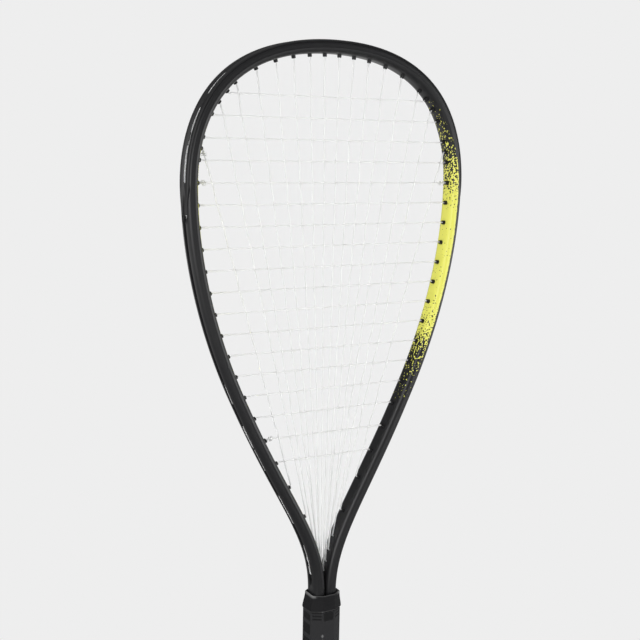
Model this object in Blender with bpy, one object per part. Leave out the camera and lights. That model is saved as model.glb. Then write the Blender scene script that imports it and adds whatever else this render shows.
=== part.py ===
"""Racketball racket: teardrop hairpin frame, woven string bed, string guards and handle.

Metres, +Z from the butt to the crown, X across the head, Y through its thickness.
The origin is the middle of the butt cap's end face, and the hitting faces look along -Y and +Y.
"""

import math

import bmesh
import bpy
import numpy as np

# Overall
TOTAL_LENGTH = 0.685
HANDLE_TOP = 0.211

# Centre line of the frame tube, one half, from the crown to the throat
CROWN_REACH = 0.1066
HEAD_WIDTH = 0.2605
WIDEST_BELOW_TOP = 0.116
SHOULDER_REACH = 0.044
FLANK_REACH = 0.0915
LIMB_HALF_SPREAD = 0.078
LIMB_BELOW_TOP = 0.301
LIMB_LEAN = math.radians(25.2)
LIMB_REACH_UP = 0.017
LIMB_FULLNESS = 0.583
THROAT_ABOVE_HANDLE = 0.004
THROAT_FULLNESS = 0.302
SHAFT_GAP = 0.0005
SHAFT_BOTTOM = 0.012

# Frame tube
FRAME_WIDTH = 0.0108
CROWN_DEPTH = 0.0184
LIMB_DEPTH = 0.0164
SHAFT_DEPTH = 0.0178
SECTION_POWER = 3.2
GROOVE_COVER = 0.00005
GROOVE_FLARE = 0.0003
GROOVE_SINK = 0.0016
GROOVE_RISE = 0.080
GROOVE_FADE = 0.010

# String guards: crown bumper and grommet strips
FIT = 0.0003
GUARD_THICK = 0.0008
GUARD_EDGE = 0.0004
BARREL_WALL = 0.0008
BARREL_PROUD = 0.0024
BUMPER_ROWS = 6
BUMPER_PAST_HOLE = 0.0065
BUMPER_TAIL = 0.0245
BUMPER_WING = 0.0160
BUMPER_WING_END = 0.0110
BUMPER_THICK = 0.0012
BUMPER_RISE = 0.0005
BUMPER_LIP = 0.006
BUMPER_LIFT = 0.0006
CHANNEL_HALF = 0.0029
CHANNEL_FLANK = 0.0013
CHANNEL_LIP = 0.0025
CHANNEL_ROUND = 0.0015
STRIP_END = 0.004

# String bed
STRING_DIAMETER = 0.00125
WEAVE_GAP = 0.0003
ROWS = 18
FIRST_ROW_BELOW_TOP = 0.0454
ROW_PITCH = 0.0173
ROW_SPREAD = 0.0005
SPREAD_FROM_ROW = 13
MAIN_PITCH = 0.0140
MAIN_TO_FIRST_ROW = 0.0105
THROAT_HOLE_SHARES = (0.28, 0.62, 0.87)
THROAT_CROWDING = 0.85
SHARED_WEAVE_FROM_ROW = 12
STRING_EXIT = 0.0009
HITCH_TURNS = 1.75
HITCH_PITCH = 0.0018
HITCH_START = 0.0011

# Handle
GRIP_WIDTH = 0.0340
GRIP_DEPTH = 0.0286
GRIP_CORNER = 0.0078
GRIP_THICK = 0.0019
GRIP_TOP_BELOW_RIM = 0.0118
COLLAR_WALL = 0.0017
COLLAR_BULGE = 0.0007
COLLAR_TAPER = 0.0005
COLLAR_SEAT = 0.0040
CAP_HEIGHT = 0.0160
CAP_FLOOR = 0.0030
CAP_HEEL = 0.0021
CAP_HEEL_HEIGHT = 0.0070

# Every piece on the tube shares its stations, and between two of them stays this near the true curve
CHORD_ERROR = 0.0002
LONGEST_STEP = 0.040

STRING_RADIUS = STRING_DIAMETER / 2
HALF_WIDTH = FRAME_WIDTH / 2
LANE = STRING_RADIUS + WEAVE_GAP / 2
PASSING_LANE = CHANNEL_HALF - 2 * FIT - STRING_RADIUS
GUARD_TOP = HALF_WIDTH - GROOVE_COVER - STRING_DIAMETER - FIT
FLOOR_U = GUARD_TOP - GUARD_THICK - FIT
STRIP_HALF = LANE + STRING_RADIUS + FIT + GUARD_EDGE
CHANNEL_RIM = CHANNEL_HALF + CHANNEL_LIP
HEX_INSET = math.cos(math.radians(30))
BORE_RADIUS = (STRING_RADIUS + FIT) / HEX_INSET
BARREL_RADIUS = BORE_RADIUS + BARREL_WALL
HOLE_RADIUS = BARREL_RADIUS + FIT / HEX_INSET


def bezier(p0, p1, p2, p3, count=48):
    """Points of a cubic curve, without the last one."""
    t = np.linspace(0, 1, count, endpoint=False)[:, None]
    p0, p1, p2, p3 = (np.array(p, float) for p in (p0, p1, p2, p3))
    return (1 - t) ** 3 * p0 + 3 * (1 - t) ** 2 * t * p1 + 3 * (1 - t) * t * t * p2 + t**3 * p3


def bulge(v, depth, width):
    """How far out the tube's side is at height v of its depth."""
    return width * max(0.0, 1 - abs(v / depth) ** SECTION_POWER) ** (1 / SECTION_POWER)


def half_centre_line():
    """The right half of the tube's centre line in X and Z, from the crown to the shaft's lower end."""
    rim = bulge(CHANNEL_RIM, CROWN_DEPTH / 2, HALF_WIDTH + BUMPER_RISE)
    crown = (0, TOTAL_LENGTH - rim)
    wide = (HEAD_WIDTH / 2 - HALF_WIDTH, TOTAL_LENGTH - WIDEST_BELOW_TOP)
    limb = (LIMB_HALF_SPREAD, TOTAL_LENGTH - LIMB_BELOW_TOP)
    throat = (HALF_WIDTH + SHAFT_GAP / 2, HANDLE_TOP + THROAT_ABOVE_HANDLE)
    drop = limb[1] - throat[1]
    lean = (math.sin(LIMB_LEAN), math.cos(LIMB_LEAN))
    runs = [
        bezier(crown, (CROWN_REACH, crown[1]), (wide[0], wide[1] + SHOULDER_REACH), wide),
        bezier(
            wide,
            (wide[0], wide[1] - FLANK_REACH),
            (limb[0] + lean[0] * LIMB_REACH_UP, limb[1] + lean[1] * LIMB_REACH_UP),
            limb,
        ),
        bezier(
            limb,
            (limb[0] - lean[0] * LIMB_FULLNESS * drop, limb[1] - lean[1] * LIMB_FULLNESS * drop),
            (throat[0], throat[1] + THROAT_FULLNESS * drop),
            throat,
        ),
        np.linspace(throat, (throat[0], SHAFT_BOTTOM), 24),
    ]
    return np.concatenate(runs)


LINE = half_centre_line()
ARC = np.concatenate([[0], np.cumsum(np.linalg.norm(np.diff(LINE, axis=0), axis=1))])
HEADING = np.unwrap(np.arctan2(*np.gradient(LINE, ARC, axis=0).T[::-1]))
HEADING[0] = 0
SHAFT_END = ARC[-1]


def place(s, u=0.0, v=0.0):
    """The point at arc s from the crown, u outwards from the centre line and v towards the back."""
    side = -1 if s < 0 else 1
    a = abs(s)
    x, z = np.interp(a, ARC, LINE[:, 0]), np.interp(a, ARC, LINE[:, 1])
    angle = np.interp(a, ARC, HEADING)
    return np.array([side * (x - u * math.sin(angle)), v, z + u * math.cos(angle)])


def heading(s):
    return np.interp(abs(s), ARC, HEADING)


def arc_where(values, wanted):
    """The arc at which a quantity that falls along the centre line reaches the wanted value."""
    return float(np.interp(-wanted, -np.asarray(values), ARC))


def smooth(x):
    x = min(max(x, 0.0), 1.0)
    return x * x * (3 - 2 * x)


def half_depth(s):
    """Half the tube's depth: deepest at the crown, slimmest half way down the limbs."""
    below = TOTAL_LENGTH - place(abs(s))[2]
    if below < LIMB_BELOW_TOP:
        return (CROWN_DEPTH + (LIMB_DEPTH - CROWN_DEPTH) * smooth(below / LIMB_BELOW_TOP)) / 2
    share = (below - LIMB_BELOW_TOP) / (TOTAL_LENGTH - HANDLE_TOP - LIMB_BELOW_TOP)
    return (LIMB_DEPTH + (SHAFT_DEPTH - LIMB_DEPTH) * smooth(share)) / 2


def around(angle, width, depth):
    """A point of the tube's section, from its side at angle 0 to its back at 90 degrees."""
    u, v = max(0.0, math.cos(angle)), math.sin(angle)
    return width * u ** (2 / SECTION_POWER), depth * v ** (2 / SECTION_POWER)


def tail_share(s):
    """1 where the bumper is whole, fading to 0 at its ends."""
    return smooth((BUMPER_HALF_ARC - abs(s)) / BUMPER_TAIL)


def seat_share(s):
    """1 where the tube is recessed for the bumper, 0 clear of its ends."""
    return smooth((BUMPER_HALF_ARC + BUMPER_LIP - abs(s)) / BUMPER_LIP)


def groove_share(s):
    """1 along the strings, fading out below the lowest hole."""
    return smooth((GROOVE_END - abs(s)) / GROOVE_FADE)


def sunk(s):
    """How much lower the strings lie than flush: most round the head, less under the bumper."""
    return GROOVE_SINK * smooth((LIMB_ARC - abs(s)) / GROOVE_RISE) - BUMPER_LIFT * tail_share(s)


def groove_floor(s):
    """How far out the groove's floor is."""
    return FLOOR_U - sunk(s)


def guard_top(s):
    """How far out the strings rest on the bumper or a strip."""
    return GUARD_TOP - sunk(s)


def channel_half(s):
    """Half the width of the strings' channel, which is wider in the bumper."""
    narrow = LANE + STRING_RADIUS + FIT
    return narrow + (CHANNEL_HALF - narrow) * tail_share(s)


def channel_outside(s):
    """Half the width over the channel's walls."""
    return channel_half(s) + GUARD_EDGE + (GUARD_THICK - GUARD_EDGE) * tail_share(s)


def oval(radius, spread=0.0):
    """A hexagon, or one stretched along Y for two strings side by side."""
    points = []
    for k in range(6):
        t, v = radius * math.cos(math.pi * k / 3), radius * math.sin(math.pi * k / 3)
        if k % 3:
            points.append((t, v + math.copysign(spread, v)))
        elif spread:
            first = -spread if k == 0 else spread
            points += [(t, first), (t, -first)]
        else:
            points.append((t, 0.0))
    return points


# Stringing pattern


def mouth_u(proud=BARREL_PROUD):
    """Where a string leaves its barrel on the inner side."""
    return -(HALF_WIDTH + proud + STRING_EXIT)


def row_height(row):
    extra = max(0, row - SPREAD_FROM_ROW)
    return TOTAL_LENGTH - FIRST_ROW_BELOW_TOP - ROW_PITCH * row - ROW_SPREAD * extra**2


MOUTH_LINE = LINE + mouth_u() * np.stack([-np.sin(HEADING), np.cos(HEADING)], 1)
INNER_LINE = LINE - HALF_WIDTH * np.stack([-np.sin(HEADING), np.cos(HEADING)], 1)
ROW_ARCS = [arc_where(MOUTH_LINE[:, 1], row_height(row)) for row in range(ROWS)]
LIMB_ARC = arc_where(LINE[:, 1], TOTAL_LENGTH - LIMB_BELOW_TOP)
BUMPER_HALF_ARC = ROW_ARCS[BUMPER_ROWS - 1] + BUMPER_PAST_HOLE


def crown_arcs():
    """Arcs of the mains' upper holes, from the outermost main to the middle one."""
    last = ROW_ARCS[0] - MAIN_TO_FIRST_ROW
    steps = len(MAIN_LOWER) - 2
    growth = (last - MAIN_PITCH * (steps - 0.5)) / (steps - 0.5) ** 3
    arcs = [MAIN_PITCH * (k + 0.5) + growth * (k + 0.5) ** 3 for k in range(steps)]
    arcs.append((ROW_ARCS[0] + ROW_ARCS[1]) / 2)
    arcs.append((ROW_ARCS[2] + ROW_ARCS[3]) / 2)
    return arcs[::-1]


def throat_arcs():
    """Arcs of the six lower holes on a limb, from the highest to the one in the crotch."""
    lowest = STRING_DIAMETER + WEAVE_GAP
    side_by_side = [lowest + THROAT_CROWDING * STRING_DIAMETER * k for k in (4, 1.5, 0)]
    limb = INNER_LINE[:, 1] < TOTAL_LENGTH - LIMB_BELOW_TOP
    arcs = [float(np.interp(-x, -INNER_LINE[limb, 0], ARC[limb])) for x in side_by_side]
    for number in (1, 0):
        arcs[number] = min(arcs[number], arcs[number + 1] - 2 * (HOLE_RADIUS + FIT))
    last_row = ROW_ARCS[-1]
    return [last_row + (arcs[0] - last_row) * share for share in THROAT_HOLE_SHARES] + arcs


# The lower hole of each main, from the outermost to the middle one.
# Lanes are for the left side, where 1 is towards the back, and are mirrored on the right.
MAIN_LOWER = (0, 1, 2, 3, 3, 4, 4, 5)
MAIN_LOWER_LANE = (0, 0, 0, -1, 1, -1, 1, 0)
MAIN_UPPER_LANE = (1, 1, 0, 0, 0, 0, 0, 0)
ROW_LANE = {0: -1, 3: -1, 4: -1, 16: 1}
WIDE_THROAT_HOLES = (3, 4)
FLUSH_THROAT_HOLES = (2, 3, 4, 5)
MAIN_TIE_ROW, CROSS_TIE_ROW = sorted(ROW_LANE)[2:]
CROWN_ARCS = crown_arcs()
THROAT_ARCS = throat_arcs()
GROOVE_END = THROAT_ARCS[-1] + STRIP_END + FIT + GROOVE_FADE


def lane_v(s, lane):
    return -lane * LANE if s > 0 else lane * LANE


class Hole:
    """A string hole through the tube at an arc, wide where two strings share it."""

    def __init__(self, s, wide=False, proud=BARREL_PROUD):
        self.s = s
        self.spread = LANE if wide else 0.0
        self.proud = proud

    def outwards(self):
        side = -1 if self.s < 0 else 1
        angle = heading(self.s)
        return np.array([-side * math.sin(angle), 0, math.cos(angle)])

    def prism(self, radius, inner, outer):
        """Two rings of points across the tube, from u inner to u outer."""
        centre = place(self.s)
        out = self.outwards()
        along = np.array([out[2], 0, -out[0]])
        rings = []
        for u in (inner, outer):
            rings.append(
                [centre + out * u + along * t + np.array([0, v, 0]) for t, v in oval(radius, self.spread)]
            )
        return rings

    def mouth(self, lane):
        """Where a string in that lane leaves the hole for the string bed."""
        return place(self.s, mouth_u(self.proud), lane_v(self.s, lane))


def side_holes(side):
    """Every hole of one side above the lower holes of the mains."""
    holes = [Hole(side * s, MAIN_UPPER_LANE[k] != 0) for k, s in enumerate(CROWN_ARCS)]
    return holes + [Hole(side * s, row in ROW_LANE) for row, s in enumerate(ROW_ARCS)]


def bumper_holes():
    return [hole for side in (-1, 1) for hole in side_holes(side) if abs(hole.s) < BUMPER_HALF_ARC]


def strip_holes(side):
    return [hole for hole in side_holes(side) if abs(hole.s) > BUMPER_HALF_ARC]


def throat_hole(side, number):
    proud = -FIT if number in FLUSH_THROAT_HOLES else BARREL_PROUD
    return Hole(side * THROAT_ARCS[number], number in WIDE_THROAT_HOLES, proud)


def throat_holes(side):
    return [throat_hole(side, number) for number in range(len(THROAT_ARCS))]


def all_holes():
    return [hole for side in (-1, 1) for hole in side_holes(side) + throat_holes(side)]


def half_stations():
    """Arcs of the right half where pieces start or end, and between them where the line turns."""
    marks = [
        0.0,
        BUMPER_HALF_ARC - BUMPER_TAIL,
        BUMPER_HALF_ARC - BUMPER_TAIL / 2,
        BUMPER_HALF_ARC,
        BUMPER_HALF_ARC + BUMPER_LIP,
        ROW_ARCS[-1] + STRIP_END,
        THROAT_ARCS[0] - STRIP_END,
        THROAT_ARCS[-1] + STRIP_END,
        GROOVE_END - GROOVE_FADE,
        GROOVE_END,
        SHAFT_END,
    ]
    found = []
    for start, end in zip(marks, marks[1:]):
        fine = np.linspace(start, end, 400)
        sag = np.cumsum(np.sqrt(np.abs(np.diff(heading(fine))) / (8 * CHORD_ERROR * np.diff(fine))))
        sag *= fine[1] - fine[0]
        parts = max(math.ceil(sag[-1]), math.ceil((end - start) / LONGEST_STEP))
        even = sag if sag[-1] > 1 else np.arange(1.0, len(fine))
        found += [float(np.interp(even[-1] * k / parts, even, fine[1:])) for k in range(parts)]
        found[-parts] = start
    return [*found, SHAFT_END]


HALF_STATIONS = half_stations()
STATIONS = [-s for s in HALF_STATIONS[:0:-1]] + HALF_STATIONS


def stations(start, end):
    """The tube's stations from one arc to another, both included."""
    return [start, *(s for s in STATIONS if start + FIT < s < end - FIT), end]


# Meshes and objects


def clear_scene():
    for obj in list(bpy.data.objects):
        bpy.data.objects.remove(obj, do_unlink=True)


def new_collection(name):
    collection = bpy.data.collections.new(name)
    bpy.context.scene.collection.children.link(collection)
    return collection


def material(name, colour, roughness, metallic=0.0):
    made = bpy.data.materials.new(name)
    made.use_nodes = True
    shader = made.node_tree.nodes["Principled BSDF"]
    shader.inputs["Base Color"].default_value = (*colour, 1)
    shader.inputs["Roughness"].default_value = roughness
    shader.inputs["Metallic"].default_value = metallic
    made.diffuse_color = (*colour, 1)
    return made


def loft_into(mesh, rings, cyclic=False):
    """Skins rings of equal length, and closes the ends unless the last ring joins the first."""
    loops = [[mesh.verts.new(point) for point in ring] for ring in rings]
    count = len(loops[0])
    pairs = list(zip(loops, loops[1:]))
    if cyclic:
        pairs.append((loops[-1], loops[0]))
    for low, high in pairs:
        for k in range(count):
            mesh.faces.new((low[k], low[(k + 1) % count], high[(k + 1) % count], high[k]))
    if not cyclic:
        mesh.faces.new(loops[0][::-1])
        mesh.faces.new(loops[-1])


def mesh_object(name, collection, shapes, look=None, smooth_angle=40):
    """One object made of lofted shapes, each a list of rings and whether it closes on itself."""
    mesh = bmesh.new()
    for rings, cyclic in shapes:
        loft_into(mesh, rings, cyclic)
    bmesh.ops.recalc_face_normals(mesh, faces=mesh.faces)
    data = bpy.data.meshes.new(name)
    mesh.to_mesh(data)
    mesh.free()
    obj = bpy.data.objects.new(name, data)
    collection.objects.link(obj)
    if look:
        data.materials.append(look)
        data.shade_smooth()
        data.set_sharp_from_angle(angle=math.radians(smooth_angle))
    return obj


def cutter(name, shapes):
    obj = mesh_object(name, CUTTERS, shapes)
    obj.hide_render = True
    obj.display_type = "WIRE"
    return obj


def combine(obj, other, operation):
    modifier = obj.modifiers.new(operation.title(), "BOOLEAN")
    modifier.operation = operation
    modifier.object = other
    modifier.solver = "EXACT"


# Frame


def recessed(s):
    """How far out the tube's outer side is, lower under the bumper by the bumper's thickness."""
    return HALF_WIDTH + BUMPER_RISE * tail_share(s) - (BUMPER_THICK + FIT) * seat_share(s)


def frame_ring(s):
    depth = half_depth(s)
    outer = recessed(s)
    floor = channel_outside(s) + FIT
    flat = bulge(floor, depth, outer)
    start = math.asin(((floor + GROOVE_FLARE) / depth) ** (SECTION_POWER / 2))
    back = [(flat + (groove_floor(s) - flat) * groove_share(s), floor)]
    back += [around(start + (math.pi / 2 - start) * k / 3, outer, depth) for k in range(4)]
    back += [around(math.pi / 2 * (1 - k / 4.5), -HALF_WIDTH, depth) for k in range(1, 5)]
    section = back + [(u, -v) for u, v in reversed(back)]
    return [place(s, u, v) for u, v in section]


def make_frame():
    frame = mesh_object("frame", RACKET, [([frame_ring(s) for s in STATIONS], False)], PAINT)
    reach = HALF_WIDTH + BARREL_PROUD
    holes = [(hole.prism(HOLE_RADIUS, -reach, reach), False) for hole in all_holes()]
    combine(frame, cutter("frame_holes", holes), "DIFFERENCE")


# String guards


def add_barrels(guard, holes):
    """Joins a barrel to the guard at each hole, and bores it for the strings."""
    barrels = []
    for hole in holes:
        root = groove_floor(hole.s) + FIT + GUARD_THICK / 2
        barrels.append((hole.prism(BARREL_RADIUS, -(HALF_WIDTH + hole.proud), root), False))
    combine(guard, cutter(guard.name + "_barrels", barrels), "UNION")
    past = HALF_WIDTH + BARREL_PROUD + STRING_EXIT
    bores = [(hole.prism(BORE_RADIUS, -past, past), False) for hole in holes]
    combine(guard, cutter(guard.name + "_bores", bores), "DIFFERENCE")


def bumper_ring(s):
    """A channel for the strings in the groove, with a wing over each side of the tube."""
    depth = half_depth(s)
    tail = tail_share(s)
    reach = HALF_WIDTH + BUMPER_RISE * tail
    covered = recessed(s)
    channel = channel_half(s)
    base = channel_outside(s)
    wall = base + GROOVE_FLARE
    tip = (BUMPER_WING_END + (BUMPER_WING - BUMPER_WING_END) * tail) / 2
    middle = (wall + tip) / 2
    flank = channel + CHANNEL_FLANK * tail
    edge = channel + GROOVE_FLARE + (CHANNEL_LIP - GROOVE_FLARE) * tail
    flank_u = bulge(flank, depth, reach) - CHANNEL_ROUND
    under = [(v, bulge(v, depth, covered) + FIT) for v in (wall, middle, tip)]
    over = [(v, bulge(v, depth, reach)) for v in (tip, (edge + tip) / 2, edge)]
    back = [
        (groove_floor(s) + FIT, base),
        *((u, v) for v, u in under + over),
        (flank_u, flank),
        (guard_top(s), channel),
    ]
    section = back + [(u, -v) for u, v in reversed(back)]
    return [place(s, u, v) for u, v in section]


def strip_ring(s):
    low, high = groove_floor(s) + FIT, guard_top(s)
    corners = ((low, -STRIP_HALF), (high, -STRIP_HALF), (high, STRIP_HALF), (low, STRIP_HALF))
    return [place(s, u, v) for u, v in corners]


def make_bumper():
    arcs = stations(-BUMPER_HALF_ARC, BUMPER_HALF_ARC)
    bumper = mesh_object("crown_bumper", RACKET, [([bumper_ring(s) for s in arcs], False)], PLASTIC)
    add_barrels(bumper, bumper_holes())


def make_strip(name, start, end, holes):
    """A flat strip on the groove's floor, from arc to arc, with its barrels through the tube."""
    side = -1 if holes[0].s < 0 else 1
    arcs = [side * s for s in stations(start, end)]
    strip = mesh_object(name, RACKET, [([strip_ring(s) for s in arcs], False)], PLASTIC)
    add_barrels(strip, holes)


# Strings


def groove_run(start, start_lane, end, end_lane, beside=None):
    """A string's way outside the tube: out of one hole, along the groove and into the next."""
    step = math.copysign(STRING_DIAMETER, end - start)
    from_v, to_v = lane_v(start, start_lane or end_lane), lane_v(end, end_lane or start_lane)
    turns = [(start + step, from_v), (end - step, to_v)]
    if beside is not None:
        turns[1:1] = [(start + 3 * step, beside), (end - 3 * step, beside)]
    turns.sort()
    arcs = {s for (a, _), (b, _) in zip(turns, turns[1:]) for s in stations(a, b)}
    points = [place(start, guard_top(start) + FIT, lane_v(start, start_lane))]
    for s in sorted(arcs, reverse=step < 0):
        points.append(place(s, guard_top(s) + FIT + STRING_RADIUS, np.interp(s, *zip(*turns))))
    points.append(place(end, guard_top(end) + FIT, lane_v(end, end_lane)))
    return points


def hitch(hole, lane, partner):
    """The string's end, out of the hole in its lane and wound round the other string there."""
    start = partner[0]
    axis = partner[1] - start
    axis /= np.linalg.norm(axis)
    side = np.array([0.0, lane_v(hole.s, lane), 0.0])
    side -= axis * side.dot(axis)
    side /= np.linalg.norm(side)
    across = np.cross(axis, side)
    clear = HITCH_START + BARREL_RADIUS * np.linalg.norm(np.cross(axis, hole.outwards()))
    points = [hole.mouth(lane)]
    for k in range(int(HITCH_TURNS * 8) + 1):
        angle = 2 * math.pi * k / 8
        out = side * math.cos(angle) + across * math.sin(angle)
        points.append(start + axis * (clear + HITCH_PITCH * k / 8) + out * 2 * LANE)
    return points


def upper_mouth(side, number):
    return Hole(side * CROWN_ARCS[number]).mouth(MAIN_UPPER_LANE[number])


def lower_mouth(side, number):
    return throat_hole(side, MAIN_LOWER[number]).mouth(MAIN_LOWER_LANE[number])


def crossing(main, row):
    """Where a main and a row cross in X, or None where they don't."""
    top, bottom = upper_mouth(*main), lower_mouth(*main)
    z = row_height(row)
    if not bottom[2] + STRING_DIAMETER < z < top[2] - STRING_DIAMETER:
        return None
    return top[0] + (bottom[0] - top[0]) * (top[2] - z) / (top[2] - bottom[2])


# Each main's side and its number from the outside, from left to right
MAINS = [(-1, k) for k in range(len(MAIN_LOWER))] + [(1, k) for k in reversed(range(len(MAIN_LOWER)))]


def weave(index, row):
    """The main's and the row's distance from the middle plane where they cross."""
    sign = 1 if (index + row) % 2 else -1
    apart = STRING_DIAMETER + WEAVE_GAP
    share = 0.5 if row >= SHARED_WEAVE_FROM_ROW else 0.0
    return sign * apart * share, -sign * apart * (1 - share)


def main_points(index):
    """One main from its upper hole's mouth to its lower one. It stays flat above the crowded rows."""
    points = [upper_mouth(*MAINS[index])]
    crossed = [row for row in range(ROWS) if crossing(MAINS[index], row) is not None]
    for row in crossed:
        if row == crossed[0] or row >= SHARED_WEAVE_FROM_ROW - 1:
            points.append(np.array([crossing(MAINS[index], row), weave(index, row)[0], row_height(row)]))
    points.append(lower_mouth(*MAINS[index]))
    return points


def row_points(row):
    """One row from the left hole's mouth to the right one's."""
    lane = ROW_LANE.get(row, 0)
    points = [Hole(-ROW_ARCS[row]).mouth(lane)]
    for index, main in enumerate(MAINS):
        x = crossing(main, row)
        if x is not None:
            points.append(np.array([x, weave(index, row)[1], row_height(row)]))
    points.append(Hole(ROW_ARCS[row]).mouth(lane))
    return points


def half_main_route(side):
    """The mains of one half, from the middle one's upper hole to the hitch beside the outermost."""
    route = []
    last = len(MAIN_LOWER) - 1
    for number in range(last, -1, -1):
        points = main_points(MAINS.index((side, number)))
        downwards = (last - number) % 2 == 0
        route += points if downwards else points[::-1]
        if number == 0:
            break
        arcs = [THROAT_ARCS[k] for k in MAIN_LOWER] if downwards else CROWN_ARCS
        lanes = MAIN_LOWER_LANE if downwards else MAIN_UPPER_LANE
        route += groove_run(
            side * arcs[number], lanes[number], side * arcs[number - 1], lanes[number - 1]
        )
    lane = MAIN_UPPER_LANE[0]
    tie = Hole(side * ROW_ARCS[MAIN_TIE_ROW])
    route += groove_run(side * CROWN_ARCS[0], lane, tie.s, lane)
    return route + hitch(tie, lane, row_points(MAIN_TIE_ROW)[::-side])


def main_route():
    """The whole main string, from the left hitch over the crown to the right one."""
    middle = CROWN_ARCS[-1]
    return half_main_route(-1)[::-1] + groove_run(-middle, 0, middle, 0) + half_main_route(1)


def cross_route():
    """The whole cross string, from the hitch on the outermost main to the one on the last row but one.

    It starts with a long run up the groove, beside the strings that it passes, to the first row.
    """
    tie = Hole(-CROWN_ARCS[0])
    lane = -MAIN_UPPER_LANE[0]
    route = hitch(tie, lane, main_points(0))[::-1]
    route += groove_run(tie.s, lane, -ROW_ARCS[0], ROW_LANE[0], -PASSING_LANE)
    side = 1
    for row in range(ROWS):
        route += row_points(row)[::side]
        lanes = ROW_LANE.get(row, 0), ROW_LANE.get(row + 1, 0)
        if row + 1 < ROWS:
            route += groove_run(side * ROW_ARCS[row], lanes[0], side * ROW_ARCS[row + 1], lanes[1])
            side = -side
    knot = Hole(side * ROW_ARCS[CROSS_TIE_ROW])
    lane = -ROW_LANE[CROSS_TIE_ROW]
    route += groove_run(side * ROW_ARCS[-1], 0, knot.s, lane)
    return route + hitch(knot, lane, row_points(CROSS_TIE_ROW)[::-side])


def make_string(name, points):
    curve = bpy.data.curves.new(name, "CURVE")
    curve.dimensions = "3D"
    curve.bevel_depth = STRING_RADIUS
    curve.bevel_resolution = 1
    curve.use_fill_caps = True
    spline = curve.splines.new("POLY")
    spline.points.add(len(points) - 1)
    for target, point in zip(spline.points, points):
        target.co = (*point, 1)
    spline.use_smooth = True
    curve.materials.append(NYLON)
    obj = bpy.data.objects.new(name, curve)
    RACKET.objects.link(obj)


def least_gap(first, second):
    """The least distance between two strings' surfaces, on points read along them."""

    def dense(points):
        points = np.array(points)
        share = np.linspace(0, 1, 12, endpoint=False)[None, :, None]
        return (points[:-1, None] * (1 - share) + points[1:, None] * share).reshape(-1, 3)

    a, b = dense(first), dense(second)
    least = min(np.linalg.norm(b - point, axis=1).min() for point in a)
    return least - STRING_DIAMETER


# Handle


def octagon(width, depth, z, corner=GRIP_CORNER):
    """A ring of eight points: a rectangle with its corners cut at 45 degrees."""
    x, y, cut = width / 2, depth / 2, corner / math.sqrt(2)
    flat = [(x, -y + cut), (x, y - cut), (x - cut, y), (cut - x, y)]
    return [np.array([px, py, z]) for px, py in flat + [(-px, -py) for px, py in flat]]


def inset(width, depth, by, corner=GRIP_CORNER):
    """An octagon's width, depth and corner, all faces moved in by the same distance."""
    return width - 2 * by, depth - 2 * by, corner - 2 * by * math.tan(math.pi / 8)


def grip_ring(z, by=0.0):
    width, depth, corner = inset(GRIP_WIDTH, GRIP_DEPTH, by)
    return octagon(width, depth, z, corner)


PALLET_INSET = GRIP_THICK + FIT
GRIP_TOP = HANDLE_TOP - GRIP_TOP_BELOW_RIM
PALLET_TOP = GRIP_TOP + COLLAR_SEAT
PALLET_BOTTOM = CAP_FLOOR + FIT


def shaft_outline():
    """Half of the outline round both shafts, front side, with the clearance, from right to left."""
    outer = FRAME_WIDTH + SHAFT_GAP / 2 + FIT
    depth = half_depth(SHAFT_END) + FIT
    turn = outer - HALF_WIDTH
    right = [around(math.pi / 8 * k, HALF_WIDTH, depth) for k in range(5)]
    points = [(turn + x, -y) for x, y in right]
    return points + [(-x, y) for x, y in reversed(points)]


def make_pallet(name, side):
    """Half of the handle's foam body, moulded round the shafts and split in the middle plane."""
    split = FIT / 2
    outer = [(p[0], p[1]) for p in grip_ring(0, PALLET_INSET)]
    front = sorted((p for p in outer if p[1] < 0), key=lambda p: p[0])
    inner = [(x, min(y, -split)) for x, y in shaft_outline()]
    outline = [(front[0][0], -split), *front, (front[-1][0], -split), *inner]
    rings = [[np.array([x, -side * y, z]) for x, y in outline] for z in (PALLET_BOTTOM, PALLET_TOP)]
    mesh_object(name, RACKET, [(rings, False)], FOAM)


def make_grip():
    bottom = CAP_HEIGHT + FIT
    rings = [
        grip_ring(bottom),
        grip_ring(GRIP_TOP - FIT),
        grip_ring(GRIP_TOP - FIT, GRIP_THICK),
        grip_ring(bottom, GRIP_THICK),
    ]
    mesh_object("rubber_grip", RACKET, [(rings, True)], RUBBER)


def make_collar():
    """The rubber ring over the top of the grip: seated on the pallets, open round the shafts above."""
    rings = [
        grip_ring(GRIP_TOP, GRIP_THICK),
        grip_ring(GRIP_TOP),
        grip_ring(GRIP_TOP + COLLAR_BULGE, -COLLAR_BULGE),
        grip_ring(GRIP_TOP + COLLAR_SEAT, -COLLAR_BULGE),
        grip_ring(HANDLE_TOP - COLLAR_WALL / 2, COLLAR_TAPER),
        grip_ring(HANDLE_TOP, COLLAR_TAPER + COLLAR_WALL / 3),
        grip_ring(HANDLE_TOP, COLLAR_TAPER + COLLAR_WALL * 2 / 3),
        grip_ring(HANDLE_TOP - COLLAR_WALL / 2, COLLAR_TAPER + COLLAR_WALL),
        grip_ring(PALLET_TOP + FIT, GRIP_THICK),
    ]
    mesh_object("grip_collar", RACKET, [(rings, True)], RUBBER)


def make_butt_cap():
    """The end cap: a flared heel outside, a socket for the pallets inside."""
    heel = -CAP_HEEL
    rings = [
        grip_ring(0, heel + CAP_FLOOR / 2),
        grip_ring(CAP_FLOOR / 2, heel),
        grip_ring(CAP_HEEL_HEIGHT, heel),
        grip_ring(CAP_HEIGHT, 0),
        grip_ring(CAP_HEIGHT, GRIP_THICK),
        grip_ring(CAP_FLOOR, GRIP_THICK),
    ]
    mesh_object("butt_cap", RACKET, [(rings, False)], PLASTIC)


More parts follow.
